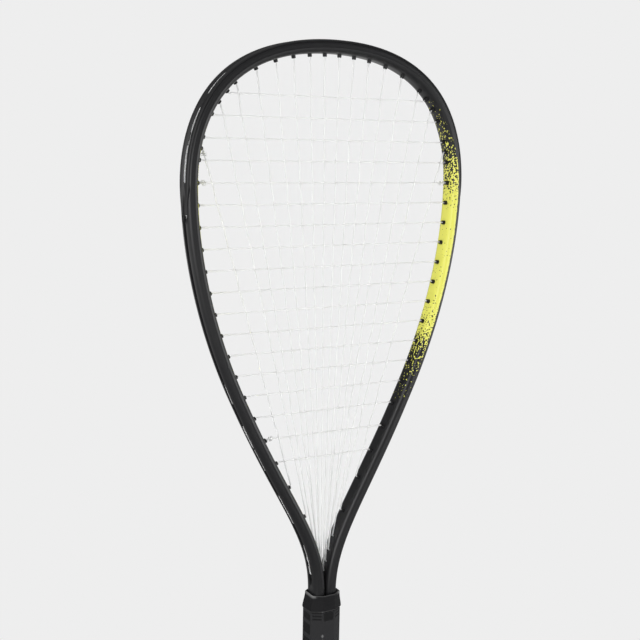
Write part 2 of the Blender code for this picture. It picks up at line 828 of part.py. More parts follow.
clear_scene()
RACKET = new_collection("racketball_racket")
CUTTERS = new_collection("cutters")
PAINT = material("black_paint", (0.017, 0.017, 0.018), 0.32)
PLASTIC = material("black_plastic", (0.012, 0.012, 0.012), 0.45)
NYLON = material("clear_nylon", (0.86, 0.87, 0.86), 0.25)
RUBBER = material("black_rubber", (0.025, 0.025, 0.026), 0.75)
FOAM = material("grey_foam", (0.10, 0.10, 0.10), 0.9)

make_frame()
make_bumper()
for side, side_name in ((-1, "left"), (1, "right")):
    make_strip(
        f"{side_name}_grommet_strip", BUMPER_HALF_ARC + FIT, ROW_ARCS[-1] + STRIP_END, strip_holes(side)
    )
    make_strip(
        f"{side_name}_throat_strip",
        THROAT_ARCS[0] - STRIP_END,
        THROAT_ARCS[-1] + STRIP_END,
        throat_holes(side),
    )
MAIN_ROUTE = main_route()
CROSS_ROUTE = cross_route()
make_string("main_string", MAIN_ROUTE)
make_string("cross_string", CROSS_ROUTE)
make_pallet("front_pallet", -1)
make_pallet("back_pallet", 1)
make_grip()
make_collar()
make_butt_cap()
print(f"strings: {len(MAIN_ROUTE)} and {len(CROSS_ROUTE)} points,", end=" ")
print(f"least gap between them {1000 * least_gap(MAIN_ROUTE, CROSS_ROUTE):.2f} mm")
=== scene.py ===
"""Looks of the racketball racket: finer pieces and finishes around the solid model."""

import math

import bmesh
import bpy
import numpy as np
from mathutils import Matrix, Vector


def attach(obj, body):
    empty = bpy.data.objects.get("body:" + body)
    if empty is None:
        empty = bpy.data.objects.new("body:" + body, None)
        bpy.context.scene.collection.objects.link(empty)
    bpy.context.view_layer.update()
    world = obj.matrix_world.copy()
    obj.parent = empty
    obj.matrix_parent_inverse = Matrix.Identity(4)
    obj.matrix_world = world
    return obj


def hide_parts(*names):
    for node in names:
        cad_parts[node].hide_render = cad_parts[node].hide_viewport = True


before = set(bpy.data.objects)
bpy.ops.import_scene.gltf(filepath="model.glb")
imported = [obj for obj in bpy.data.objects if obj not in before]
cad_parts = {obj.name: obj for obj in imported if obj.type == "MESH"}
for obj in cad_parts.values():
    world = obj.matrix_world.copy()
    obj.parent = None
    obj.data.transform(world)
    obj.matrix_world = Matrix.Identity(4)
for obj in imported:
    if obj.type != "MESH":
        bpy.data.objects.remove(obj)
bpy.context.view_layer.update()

# Sizes of the solid part, in metres, which these pieces follow
TOTAL_LENGTH = 0.685
HANDLE_TOP = 0.211
CROWN_REACH = 0.1066
HEAD_WIDTH = 0.2604
WIDEST_BELOW_TOP = 0.116
SHOULDER_REACH = 0.044
FLANK_REACH = 0.0915
LIMB_HALF_SPREAD = 0.078
LIMB_BELOW_TOP = 0.301
LIMB_LEAN = math.radians(25.2)
LIMB_REACH_UP = 0.017
LIMB_FULLNESS = 0.583
THROAT_ABOVE_HANDLE = 0.004
THROAT_FULLNESS = 0.302
SHAFT_GAP = 0.0005
SHAFT_BOTTOM = 0.012

FRAME_WIDTH = 0.0108
CROWN_DEPTH = 0.0184
LIMB_DEPTH = 0.0164
SHAFT_DEPTH = 0.0178
SECTION_POWER = 3.2
GROOVE_COVER = 0.00005
GROOVE_FLARE = 0.0003
GROOVE_SINK = 0.0016
GROOVE_RISE = 0.080
GROOVE_FADE = 0.010

FIT = 0.0003
GUARD_THICK = 0.0008
GUARD_EDGE = 0.0004
BARREL_WALL = 0.0008
BARREL_PROUD = 0.0024
BUMPER_ROWS = 6
BUMPER_PAST_HOLE = 0.0065
BUMPER_TAIL = 0.0245
BUMPER_WING = 0.0160
BUMPER_WING_END = 0.0110
BUMPER_THICK = 0.0012
BUMPER_RISE = 0.0005
BUMPER_LIP = 0.006
BUMPER_LIFT = 0.0006
CHANNEL_HALF = 0.0029
CHANNEL_FLANK = 0.0013
CHANNEL_LIP = 0.0025
CHANNEL_ROUND = 0.0015
STRIP_END = 0.004

STRING_DIAMETER = 0.00125
WEAVE_GAP = 0.0003
ROWS = 18
FIRST_ROW_BELOW_TOP = 0.0454
ROW_PITCH = 0.0173
ROW_SPREAD = 0.0005
SPREAD_FROM_ROW = 13
MAIN_PITCH = 0.0140
MAIN_TO_FIRST_ROW = 0.0105
THROAT_HOLE_SHARES = (0.28, 0.62, 0.87)
THROAT_CROWDING = 0.85
STRINGS_BELOW = (4, 1.5, 0)
STRING_EXIT = 0.0009
HITCH_TURNS = 1.75
HITCH_PITCH = 0.0018
HITCH_START = 0.0011

STRING_RADIUS = STRING_DIAMETER / 2
HALF_WIDTH = FRAME_WIDTH / 2
LANE = STRING_RADIUS + WEAVE_GAP / 2
PASSING_LANE = CHANNEL_HALF - 2 * FIT - STRING_RADIUS
GUARD_TOP = HALF_WIDTH - GROOVE_COVER - STRING_DIAMETER - FIT
FLOOR_U = GUARD_TOP - GUARD_THICK - FIT
CHANNEL_RIM = CHANNEL_HALF + CHANNEL_LIP
STRIP_HALF = LANE + STRING_RADIUS + FIT + GUARD_EDGE
BORE_RADIUS = STRING_RADIUS + FIT
BARREL_RADIUS = BORE_RADIUS + BARREL_WALL

MAIN_LOWER = (0, 1, 2, 3, 3, 4, 4, 5)
MAIN_LOWER_LANE = (0, 0, 0, -1, 1, -1, 1, 0)
MAIN_UPPER_LANE = (1, 1, 0, 0, 0, 0, 0, 0)
ROW_LANE = {0: -1, 3: -1, 4: -1, 16: 1}
WIDE_THROAT_HOLES = (3, 4)
FLUSH_THROAT_HOLES = (2, 3, 4, 5)
MAIN_TIE_ROW, CROSS_TIE_ROW = sorted(ROW_LANE)[2:]

# Camera, fitted to the photograph, in the racket's frame
CAMERA_AT = (-0.4459, -0.77232, 0.5996)
CAMERA_TURN = math.radians(30 - 0.38)
CAMERA_TILT = math.radians(9.18)
CAMERA_ROLL = math.radians(1.05)
FOCAL_PIXELS = 1071.2
PICTURE_WIDTH = 640
SENSOR = 36.0

# Fineness of the pieces
CURVE_STEPS = 200
SHAFT_STEPS = 24
RING_STEP = 0.002
BARREL_SIDES = 20
STRING_SIDES = 10


# Centre line of the tube


def bezier(p0, p1, p2, p3):
    """Points of a cubic curve, without the last one."""
    t = np.linspace(0, 1, CURVE_STEPS, endpoint=False)[:, None]
    return (1 - t) ** 3 * p0 + 3 * (1 - t) ** 2 * t * p1 + 3 * (1 - t) * t * t * p2 + t**3 * p3


def bend(start, corner, end, t):
    """A point on the curve that cuts a corner, at a share t of its way."""
    return (1 - t) ** 2 * start + 2 * t * (1 - t) * corner + t * t * end


def unit(vectors):
    return vectors / np.linalg.norm(vectors, axis=-1, keepdims=True)


def run_along(points):
    """Each point's distance along a line of points."""
    return np.concatenate([[0], np.cumsum(np.linalg.norm(np.diff(points, axis=0), axis=1))])


def smooth(x):
    """A share of the way, clamped, with a soft start and end."""
    x = np.clip(x, 0.0, 1.0)
    return x * x * (3 - 2 * x)


def bulge(v, depth, width):
    """How far out the tube's side is at height v of its depth."""
    return width * np.maximum(0.0, 1 - np.abs(v / depth) ** SECTION_POWER) ** (1 / SECTION_POWER)


def half_centre_line():
    """The right half of the tube's centre line in X and Z, from the crown down."""
    rim = bulge(CHANNEL_RIM, CROWN_DEPTH / 2, HALF_WIDTH + BUMPER_RISE)
    crown = (0, TOTAL_LENGTH - rim)
    wide = (HEAD_WIDTH / 2 - HALF_WIDTH, TOTAL_LENGTH - WIDEST_BELOW_TOP)
    limb = (LIMB_HALF_SPREAD, TOTAL_LENGTH - LIMB_BELOW_TOP)
    throat = (HALF_WIDTH + SHAFT_GAP / 2, HANDLE_TOP + THROAT_ABOVE_HANDLE)
    drop = limb[1] - throat[1]
    lean = np.array([math.sin(LIMB_LEAN), math.cos(LIMB_LEAN)])
    ends = np.array([crown, wide, limb, throat])
    leaving = (CROWN_REACH, 0), (0, -FLANK_REACH), -lean * LIMB_FULLNESS * drop
    arriving = (0, SHOULDER_REACH), lean * LIMB_REACH_UP, (0, THROAT_FULLNESS * drop)
    runs = [bezier(a, a + p, b + q, b) for a, p, q, b in zip(ends, leaving, arriving, ends[1:])]
    runs.append(np.linspace(throat, (throat[0], SHAFT_BOTTOM), SHAFT_STEPS))
    return np.concatenate(runs)


LINE = half_centre_line()
ARC = run_along(LINE)
HEADING = np.unwrap(np.arctan2(*np.gradient(LINE, ARC, axis=0).T[::-1]))
HEADING[0] = 0
SHAFT_END = ARC[-1]


def place(s, u=0.0, v=0.0):
    """Points at arc s from the crown, u outwards from the centre line and v towards the back."""
    s, u, v = np.broadcast_arrays(np.asarray(s, float), u, v)
    side = np.where(s < 0, -1.0, 1.0)
    x, z, angle = (np.interp(np.abs(s), ARC, row) for row in (LINE[:, 0], LINE[:, 1], HEADING))
    return np.stack([side * (x - u * np.sin(angle)), v, z + u * np.cos(angle)], -1)


def half_depth(s):
    """Half the tube's depth: deepest at the crown, slimmest half way down the limbs."""
    below = TOTAL_LENGTH - np.interp(np.abs(s), ARC, LINE[:, 1])
    upper = CROWN_DEPTH + (LIMB_DEPTH - CROWN_DEPTH) * smooth(below / LIMB_BELOW_TOP)
    share = (below - LIMB_BELOW_TOP) / (TOTAL_LENGTH - HANDLE_TOP - LIMB_BELOW_TOP)
    lower = LIMB_DEPTH + (SHAFT_DEPTH - LIMB_DEPTH) * smooth(share)
    return np.where(below < LIMB_BELOW_TOP, upper, lower) / 2


def tail_share(s):
    """1 where the bumper is whole, fading to 0 at its ends."""
    return smooth((BUMPER_HALF_ARC - np.abs(s)) / BUMPER_TAIL)


def seat_share(s):
    """1 where the tube is recessed for the bumper, 0 clear of its ends."""
    return smooth((BUMPER_HALF_ARC + BUMPER_LIP - np.abs(s)) / BUMPER_LIP)


def sunk(s):
    """How far below flush the strings lie: most round the head, less under the bumper."""
    return GROOVE_SINK * smooth((LIMB_ARC - np.abs(s)) / GROOVE_RISE) - BUMPER_LIFT * tail_share(s)


def groove_floor(s):
    """How far out the groove's floor is."""
    return FLOOR_U - sunk(s)


def guard_top(s):
    """How far out the strings rest on the bumper or a strip."""
    return GUARD_TOP - sunk(s)


def channel_half(s):
    """Half the width of the strings' channel, which is wider in the bumper."""
    narrow = LANE + STRING_RADIUS + FIT
    return narrow + (CHANNEL_HALF - narrow) * tail_share(s)


def channel_outside(s):
    """Half the width over the channel's walls."""
    return channel_half(s) + GUARD_EDGE + (GUARD_THICK - GUARD_EDGE) * tail_share(s)


def recessed(s):
    """How far out the tube's outer side is, lower under the bumper."""
    return HALF_WIDTH + BUMPER_RISE * tail_share(s) - (BUMPER_THICK + FIT) * seat_share(s)


# Stringing pattern


def mouth_u(proud=BARREL_PROUD):
    """Where a string leaves its barrel on the inner side."""
    return -(HALF_WIDTH + proud + STRING_EXIT)


def row_height(row):
    extra = max(0, row - SPREAD_FROM_ROW)
    return TOTAL_LENGTH - FIRST_ROW_BELOW_TOP - ROW_PITCH * row - ROW_SPREAD * extra**2


OUTWARDS = np.stack([-np.sin(HEADING), np.cos(HEADING)], 1)
MOUTH_LINE = LINE + mouth_u() * OUTWARDS
INNER_LINE = LINE - HALF_WIDTH * OUTWARDS
ROW_ARCS = [float(np.interp(-row_height(row), -MOUTH_LINE[:, 1], ARC)) for row in range(ROWS)]
LIMB_ARC = float(np.interp(LIMB_BELOW_TOP - TOTAL_LENGTH, -LINE[:, 1], ARC))
BUMPER_HALF_ARC = ROW_ARCS[BUMPER_ROWS - 1] + BUMPER_PAST_HOLE


def crown_arcs():
    """Arcs of the mains' upper holes, from the outermost main to the middle one."""
    last = ROW_ARCS[0] - MAIN_TO_FIRST_ROW
    steps = len(MAIN_LOWER) - 2
    growth = (last - MAIN_PITCH * (steps - 0.5)) / (steps - 0.5) ** 3
    arcs = [MAIN_PITCH * (k + 0.5) + growth * (k + 0.5) ** 3 for k in range(steps)]
    arcs += [(ROW_ARCS[0] + ROW_ARCS[1]) / 2, (ROW_ARCS[2] + ROW_ARCS[3]) / 2]
    return arcs[::-1]


def throat_arcs():
    """Arcs of the six lower holes on a limb, from the highest to the one in the crotch."""
    lowest = STRING_DIAMETER + WEAVE_GAP
    side_by_side = [lowest + THROAT_CROWDING * STRING_DIAMETER * k for k in STRINGS_BELOW]
    limb = INNER_LINE[:, 1] < TOTAL_LENGTH - LIMB_BELOW_TOP
    arcs = [float(np.interp(-x, -INNER_LINE[limb, 0], ARC[limb])) for x in side_by_side]
    last_row = ROW_ARCS[-1]
    return [last_row + (arcs[0] - last_row) * share for share in THROAT_HOLE_SHARES] + arcs


CROWN_ARCS = crown_arcs()
THROAT_ARCS = throat_arcs()
GROOVE_END = THROAT_ARCS[-1] + STRIP_END + FIT + GROOVE_FADE


def lane_v(s, lane):
    return -lane * LANE if s > 0 else lane * LANE


class Hole:
    """A string hole through the tube at an arc, wide where two strings share it."""

    def __init__(self, s, wide=False, proud=BARREL_PROUD):
        self.s = s
        self.spread = LANE if wide else 0.0
        self.proud = proud

    def mouth(self, lane):
        """Where a string in that lane leaves the hole for the bed."""
        return place(self.s, mouth_u(self.proud), lane_v(self.s, lane))

    def outwards(self):
        angle = math.copysign(1, self.s) * np.interp(abs(self.s), ARC, HEADING)
        return np.array([-math.sin(angle), 0, math.cos(angle)])


def side_holes(side):
    """Every hole of one side above the lower holes of the mains."""
    holes = [Hole(side * s, MAIN_UPPER_LANE[k] != 0) for k, s in enumerate(CROWN_ARCS)]
    return holes + [Hole(side * s, row in ROW_LANE) for row, s in enumerate(ROW_ARCS)]


def throat_hole(side, number):
    proud = -FIT if number in FLUSH_THROAT_HOLES else BARREL_PROUD
    return Hole(side * THROAT_ARCS[number], number in WIDE_THROAT_HOLES, proud)


def throat_holes(side):
    return [throat_hole(side, number) for number in range(len(THROAT_ARCS))]


HOLES = [hole for side in (-1, 1) for hole in side_holes(side) + throat_holes(side)]


# Meshes and objects


def new_object(name, data):
    obj = bpy.data.objects.new(name, data)
    bpy.context.scene.collection.objects.link(obj)
    return obj


def add_object(name, data, node, material, angle=35):
    """An object that rides with the racket, takes a slot's finish and stands for a solid."""
    obj = new_object(name, data)
    data.shade_smooth()
    data.set_sharp_from_angle(angle=math.radians(angle))
    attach(obj, "root")
    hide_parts(node)
    data.materials.append(material)


def add_values(data, name, values):
    """Stores a number or a vector for each point of a mesh, for its finish."""
    values = np.asarray(values, np.float32)
    kind, field = ("FLOAT_VECTOR", "vector") if values.ndim == 2 else ("FLOAT", "value")
    attribute = data.attributes.new(name, kind, "POINT")
    attribute.data.foreach_set(field, values.reshape(-1))


def loft(rings, ends=True):
    """Points and faces that skin rings, with flat ends or back to the first ring."""
    rings = np.asarray(rings, float)
    count, size = rings.shape[:2]
    index = np.arange(count * size).reshape(count, size)
    if not ends:
        index = np.concatenate([index, index[:1]])
    following = np.roll(index, -1, axis=1)
    faces = np.stack([index[:-1], following[:-1], following[1:], index[1:]], -1)
    faces = faces.reshape(-1, 4).tolist()
    if ends:
        faces += [index[0, ::-1].tolist(), index[-1].tolist()]
    return rings.reshape(-1, 3), faces


def mesh_from(name, shapes):
    """One mesh from several lofts, with its faces turned outwards."""
    points, faces, start = [], [], 0
    for some_points, some_faces in shapes:
        points += some_points.tolist()
        faces += [[k + start for k in face] for face in some_faces]
        start += len(some_points)
    data = bpy.data.meshes.new(name)
    data.from_pydata(points, [], faces)
    mesh = bmesh.new()
    mesh.from_mesh(data)
    bmesh.ops.recalc_face_normals(mesh, faces=mesh.faces)
    mesh.to_mesh(data)
    mesh.free()
    return data


def carved(name, body, added, removed):
    """A mesh with shapes joined to it and others cut out of it."""
    obj = new_object(name, mesh_from(name, [body]))
    spares = [obj]
    for shapes, operation in ((added, "UNION"), (removed, "DIFFERENCE")):
        if not shapes:
            continue
        tool = new_object(name + "_tool", mesh_from(name + "_tool", shapes))
        modifier = obj.modifiers.new(operation, "BOOLEAN")
        modifier.operation = operation
        modifier.object = tool
        modifier.solver = "EXACT"
        spares.append(tool)
    depsgraph = bpy.context.evaluated_depsgraph_get()
    data = bpy.data.meshes.new_from_object(obj.evaluated_get(depsgraph))
    data.name = name
    for spare in spares:
        old = spare.data
        bpy.data.objects.remove(spare)
        bpy.data.meshes.remove(old)
    return data


def pair(u, v):
    return np.stack(np.broadcast_arrays(u, v), -1)


def closed(half):
    """Whole sections from their back halves."""
    return np.concatenate([half[:, :-1], half[:, :0:-1] * (1, -1)], axis=1)


def rings_at(s, sections):
    return place(np.asarray(s)[:, None], sections[..., 0], sections[..., 1])


def ring_arcs(start, end):
    return np.linspace(start, end, max(2, math.ceil((end - start) / RING_STEP) + 1))


def hole_shape(hole, profile):
    """A round shape along a hole from (radius, u) pairs, wider where two strings share it."""
    turn = 2 * np.pi * (np.arange(BARREL_SIDES) + 0.5) / BARREL_SIDES
    centre, out = place(hole.s), hole.outwards()
    along = np.array([out[2], 0, -out[0]])
    rings = []
    for radius, u in profile:
        v = radius * np.sin(turn)
        v += np.sign(v) * hole.spread
        across = radius * np.cos(turn)[:, None] * along
        rings.append(centre + out * u + across + v[:, None] * np.array([0, 1, 0]))
    return loft(rings)


# Frame tube: a groove for the guards outside, a soft ridge along the front and the back

RIDGE_U = -0.0014
RIDGE_HEIGHT = 0.00022
RIDGE_SPREAD = 0.00055
RIDGE_FROM = 0.8
SEAT_EDGE = 0.0006
SECTION_STEPS = 44
LIP_TURN = 0.12
# The groove's floor as shares of its half width, and its walls as shares of height and flare
FLOOR_STEPS = np.array([0.0, 0.6, 0.9, 1.0])
WALL_HEIGHTS = np.array([0.08, 0.5, 0.86])
WALL_FLARES = np.array([0.15, 0.2, 0.45])
PAINT_CHUNK = 4000


def oval(turn, width, depth):
    """The tube's outline at angles from its outer side, as u and v."""
    c, s = np.cos(turn), np.sin(turn)
    power = 2 / SECTION_POWER
    return width * np.sign(c) * np.abs(c) ** power, depth * np.abs(s) ** power


def even_turns():
    """About even steps round the section, from the groove's lip to the inner side."""
    fine = np.linspace(LIP_TURN, np.pi, 4000)
    run = run_along(pair(*oval(fine, HALF_WIDTH, LIMB_DEPTH / 2)))
    return np.interp(np.linspace(0, run[-1], SECTION_STEPS), run, fine)


def frame_half_section(s):
    """The tube's back half at each arc: the groove's floor, its wall and the outline."""
    s = np.asarray(s, float)[:, None]
    depth = half_depth(s)
    groove = smooth((GROOVE_END - np.abs(s)) / GROOVE_FADE)
    half = channel_outside(s) + FIT
    turns = even_turns()[None, :]
    first = np.arcsin(((half + GROOVE_FLARE) / depth) ** (SECTION_POWER / 2))
    turns = first + (turns - turns[:, :1]) * (np.pi - first) / (np.pi - turns[:, :1])
    u, v = oval(turns, HALF_WIDTH, depth)
    covered = 1 - smooth((v - wing_reach(s) - FIT) / SEAT_EDGE)
    u = np.where(u > 0, u * (1 + (recessed(s) / HALF_WIDTH - 1) * covered), u)
    ridge = RIDGE_HEIGHT * np.exp(-(((u - RIDGE_U) / RIDGE_SPREAD) ** 2))
    v = v + ridge * (v > depth * RIDGE_FROM)
    lip = u[:, :1]
    bottom = lip + (groove_floor(s) - lip) * groove
    floor = pair(bottom, half * FLOOR_STEPS)
    wall = pair(bottom + (lip - bottom) * WALL_HEIGHTS, half + GROOVE_FLARE * WALL_FLARES)
    return np.concatenate([floor, wall, pair(u, v)], axis=1)


def add_tube_place(data):
    """Stores each point's arc, outward distance and depth, for the paint."""
    points = np.empty(len(data.vertices) * 3)
    data.vertices.foreach_get("co", points)
    points = points.reshape(-1, 3)
    found = []
    for part in np.array_split(points, len(points) // PAINT_CHUNK + 1):
        flat = np.stack([np.abs(part[:, 0]), part[:, 2]], 1)
        nearest = np.argmin(((flat[:, None] - LINE) ** 2).sum(axis=2), axis=1)
        x, z = (flat - LINE[nearest]).T
        c, s = np.cos(HEADING[nearest]), np.sin(HEADING[nearest])
        side = np.where(part[:, 0] < 0, -1, 1)
        arc = side * (ARC[nearest] + x * c + z * s)
        found.append(np.stack([arc, z * c - x * s, part[:, 1]], 1))
    add_values(data, "tube_place", np.concatenate(found))


def make_frame():
    arcs = ring_arcs(-SHAFT_END, SHAFT_END)
    half = frame_half_section(arcs)
    body = loft(rings_at(arcs, np.concatenate([half, half[:, ::-1] * (1, -1)], axis=1)))
    reach = HALF_WIDTH + BARREL_PROUD
    radius = BARREL_RADIUS + FIT
    cuts = [hole_shape(hole, [(radius, -reach), (radius, reach)]) for hole in HOLES]
    data = carved("frame_tube", body, [], cuts)
    add_tube_place(data)
    add_object("frame_tube", data, "frame", PAINT)


# String guards

BARREL_ROUND = 0.00035
CHANNEL_FOOT = 0.0002
LIP_SWELL = 0.0004
WING_DROP = 0.0005
WING_DROP_FROM = 0.9
WING_LINES = (0.30, 0.62)
WING_LINE_HEIGHT = 0.00012
WING_LINE_SPREAD = 0.05
WING_FOOT = 0.0009
FOOT_RISE = 0.0006
FOOT_OUT = 0.0003
STRIP_RIM = 0.00018


def wing_reach(s):
    """How far from the middle plane the bumper's wings reach, less in its tails."""
    return (BUMPER_WING_END + (BUMPER_WING - BUMPER_WING_END) * tail_share(s)) / 2


def barrel_profile(hole):
    """A barrel from its rounded end inside the head to its root in the strip."""
    root = float(groove_floor(hole.s)) + FIT + GUARD_THICK / 2
    tip = -(HALF_WIDTH + hole.proud)
    return [
        (BARREL_RADIUS - BARREL_ROUND, tip),
        (BARREL_RADIUS - BARREL_ROUND * 0.3, tip + BARREL_ROUND * 0.3),
        (BARREL_RADIUS, tip + BARREL_ROUND),
        (BARREL_RADIUS, root),
    ]


def bumper_half_section(s):
    """The bumper's back half: a channel for the strings between two rounded lips with wings."""
    s = np.asarray(s, float)[:, None]
    depth = half_depth(s)
    tail = tail_share(s)
    top = guard_top(s)
    channel = channel_half(s)
    reach = HALF_WIDTH + BUMPER_RISE * tail
    tip = wing_reach(s)
    base = channel_outside(s)
    flank = channel + CHANNEL_FLANK * tail
    edge = channel + GROOVE_FLARE + (CHANNEL_LIP - GROOVE_FLARE) * tail
    foot = top + CHANNEL_FOOT
    lip = bulge(flank, depth, reach) - CHANNEL_ROUND + LIP_SWELL
    outline = [(top, 0 * s), (top, channel * 0.6), (top, channel * 0.93), (foot, channel)]
    for t in np.linspace(0, 1, 7)[1:]:
        u = bend(foot, lip, bulge(edge, depth, reach), t)
        outline.append((u, bend(channel, flank - CHANNEL_FOOT, edge, t)))
    for share in np.linspace(0, 1, 15)[1:]:
        v = edge + (tip - edge) * share
        drop = WING_DROP * max(0, share - WING_DROP_FROM) / (1 - WING_DROP_FROM)
        lines = sum(math.exp(-(((share - at) / WING_LINE_SPREAD) ** 2)) for at in WING_LINES)
        outline.append((bulge(v, depth, reach) - drop + WING_LINE_HEIGHT * lines * tail, v))
    wall = base + WING_FOOT
    for share in np.linspace(1, 0, 6):
        v = wall + (tip - wall) * share
        outline.append((bulge(v, depth, recessed(s)) + FIT, v))
    low = top - GUARD_THICK
    outline += [(low + FOOT_RISE, base + FOOT_OUT), (low, base), (low, 0 * s)]
    return np.stack([pair(u, v)[:, 0] for u, v in outline], 1)


def strip_half_section(s):
    """A grommet strip's back half: a shallow gutter with rounded edges."""
    half = [
        (0.0, 0.0),
        (0.0, STRIP_HALF * 0.62),
        (STRIP_RIM, STRIP_HALF * 0.82),
        (STRIP_RIM, STRIP_HALF * 0.94),
        (0.0, STRIP_HALF),
        (STRIP_RIM - GUARD_THICK, STRIP_HALF),
        (-GUARD_THICK, STRIP_HALF - STRIP_RIM),
        (-GUARD_THICK, 0.0),
    ]
    return np.array(half)[None] + pair(guard_top(s), 0)[:, None]


def make_guard(name, node, arcs, half_section):
    """A guard along the groove, with a barrel and a bore at each hole within its arcs."""
    holes = [hole for hole in HOLES if min(arcs) < hole.s < max(arcs)]
    past = HALF_WIDTH + BARREL_PROUD + STRING_EXIT
    barrels = [hole_shape(hole, barrel_profile(hole)) for hole in holes]
    bores = [hole_shape(hole, [(BORE_RADIUS, -past), (BORE_RADIUS, past)]) for hole in holes]
    body = loft(rings_at(arcs, closed(half_section(arcs))))
    add_object(name, carved(name, body, barrels, bores), node, PLASTIC)


def make_guards():
    """The bumper and, on each side, a strip for the rows and one for the mains' lower holes."""
    crown = ring_arcs(-BUMPER_HALF_ARC, BUMPER_HALF_ARC)
    rows = ring_arcs(BUMPER_HALF_ARC + FIT, ROW_ARCS[-1] + STRIP_END)
    throat = ring_arcs(THROAT_ARCS[0] - STRIP_END, THROAT_ARCS[-1] + STRIP_END)
    make_guard("bumper_guard", "crown_bumper", crown, bumper_half_section)
    for side, name in ((-1, "left"), (1, "right")):
        for kind, node, arcs in (
            ("grommets", "grommet_strip", rows),
            ("throat_grommets", "throat_strip", throat),
        ):
            make_guard(f"{name}_{kind}", f"{name}_{node}", side * arcs, strip_half_section)


# Strings

WEAVE_RISE = STRING_RADIUS + 0.00002
WEAVE_STEPS = 6
GROOVE_STEP = 0.0015
HITCH_STEPS = 16
BEND_REACH = 0.0009
BEND_SHARE = 0.45
BEND_STEPS = 6
# The cosine between a corner's two sides below which it is nearly straight and stays as it is
NEARLY_STRAIGHT = -0.97


def string_level(s):
    """How far out a string lies in the groove."""
    return guard_top(s) + FIT / 3 + STRING_RADIUS


def groove_run(start, start_lane, end, end_lane, beside=None):
    """A string's way outside the tube: out of one hole, along the groove and into the next."""
    step = math.copysign(STRING_DIAMETER, end - start)
    from_v, to_v = lane_v(start, start_lane or end_lane), lane_v(end, end_lane or start_lane)
    turns = [(start + step, from_v), (end - step, to_v)]
    if beside is not None:
        turns[1:1] = [(start + 4 * step, beside), (end - 4 * step, beside)]
    turns.sort()
    points = [place(start, string_level(start) - STRING_RADIUS, lane_v(start, start_lane))]
    for s in np.linspace(start + step, end - step, max(3, int(abs(end - start) / GROOVE_STEP))):
        points.append(place(s, string_level(s), np.interp(s, *zip(*turns))))
    points.append(place(end, string_level(end) - STRING_RADIUS, lane_v(end, end_lane)))
    return points


def hitch(hole, lane, partner):
    """The string's end, out of the hole in its lane and wound round the other string there."""
    start = partner[0]
    axis = unit(partner[3] - start)
    side = np.array([0.0, lane_v(hole.s, lane), 0.0])
    side = unit(side - axis * side.dot(axis))
    across = np.cross(axis, side)
    clear = HITCH_START + BARREL_RADIUS * np.linalg.norm(np.cross(axis, hole.outwards()))
    points = [hole.mouth(lane)]
    for k in range(int(HITCH_TURNS * HITCH_STEPS) + 1):
        turn = k / HITCH_STEPS
        angle = 2 * math.pi * turn
        out = side * math.cos(angle) + across * math.sin(angle)
        points.append(start + axis * (clear + HITCH_PITCH * turn) + out * 2 * LANE)
    return points


def upper_mouth(side, number):
    return Hole(side * CROWN_ARCS[number]).mouth(MAIN_UPPER_LANE[number])


def lower_mouth(side, number):
    return throat_hole(side, MAIN_LOWER[number]).mouth(MAIN_LOWER_LANE[number])


NUMBERS = range(len(MAIN_LOWER))
MAINS = [(-1, k) for k in NUMBERS] + [(1, k) for k in reversed(NUMBERS)]


def crossings(index, row, sign):
    """The point where a main (sign 1) or a row (sign -1) passes the other, or an empty list."""
    top, bottom = upper_mouth(*MAINS[index]), lower_mouth(*MAINS[index])
    z = row_height(row)
    if not bottom[2] + STRING_DIAMETER < z < top[2] - STRING_DIAMETER:
        return []
    x = top[0] + (bottom[0] - top[0]) * (top[2] - z) / (top[2] - bottom[2])
    return [np.array([x, WEAVE_RISE * (sign if (index + row) % 2 else -sign), z])]


def woven(points):
    """A string through its crossings, straight from the front and waved from the side."""
    found = [points[0]]
    for start, end in zip(points, points[1:]):
        for share in np.arange(1, WEAVE_STEPS + 1) / WEAVE_STEPS:
            wave = (1 - math.cos(math.pi * share)) / 2
            found.append(start + (end - start) * (share, wave, share))
    return found


def main_points(index):
    """One main from its upper hole's mouth to its lower one."""
    middle = [point for row in range(ROWS) for point in crossings(index, row, 1)]
    return woven([upper_mouth(*MAINS[index]), *middle, lower_mouth(*MAINS[index])])


def row_points(row):
    """One row from the left hole's mouth to the right one's."""
    middle = [point for index in range(len(MAINS)) for point in crossings(index, row, -1)]
    left, right = (Hole(s).mouth(ROW_LANE.get(row, 0)) for s in (-ROW_ARCS[row], ROW_ARCS[row]))
    return woven([left, *middle, right])


def half_main_route(side):
    """The mains of one half, from the middle one's upper hole to the string's hitch."""
    route = []
    last = len(MAIN_LOWER) - 1
    for number in range(last, -1, -1):
        points = main_points(MAINS.index((side, number)))
        downwards = (last - number) % 2 == 0
        route += points if downwards else points[::-1]
        if number == 0:
            break
        arcs = [THROAT_ARCS[k] for k in MAIN_LOWER] if downwards else CROWN_ARCS
        lanes = MAIN_LOWER_LANE if downwards else MAIN_UPPER_LANE
        route += groove_run(
            side * arcs[number], lanes[number], side * arcs[number - 1], lanes[number - 1]
        )
    lane = MAIN_UPPER_LANE[0]
    tie = Hole(side * ROW_ARCS[MAIN_TIE_ROW])
    route += groove_run(side * CROWN_ARCS[0], lane, tie.s, lane)
    return route + hitch(tie, lane, row_points(MAIN_TIE_ROW)[::-side])


def main_route():
    """The whole main string, from the left hitch over the crown to the right one."""
    middle = CROWN_ARCS[-1]
    return half_main_route(-1)[::-1] + groove_run(-middle, 0, middle, 0) + half_main_route(1)


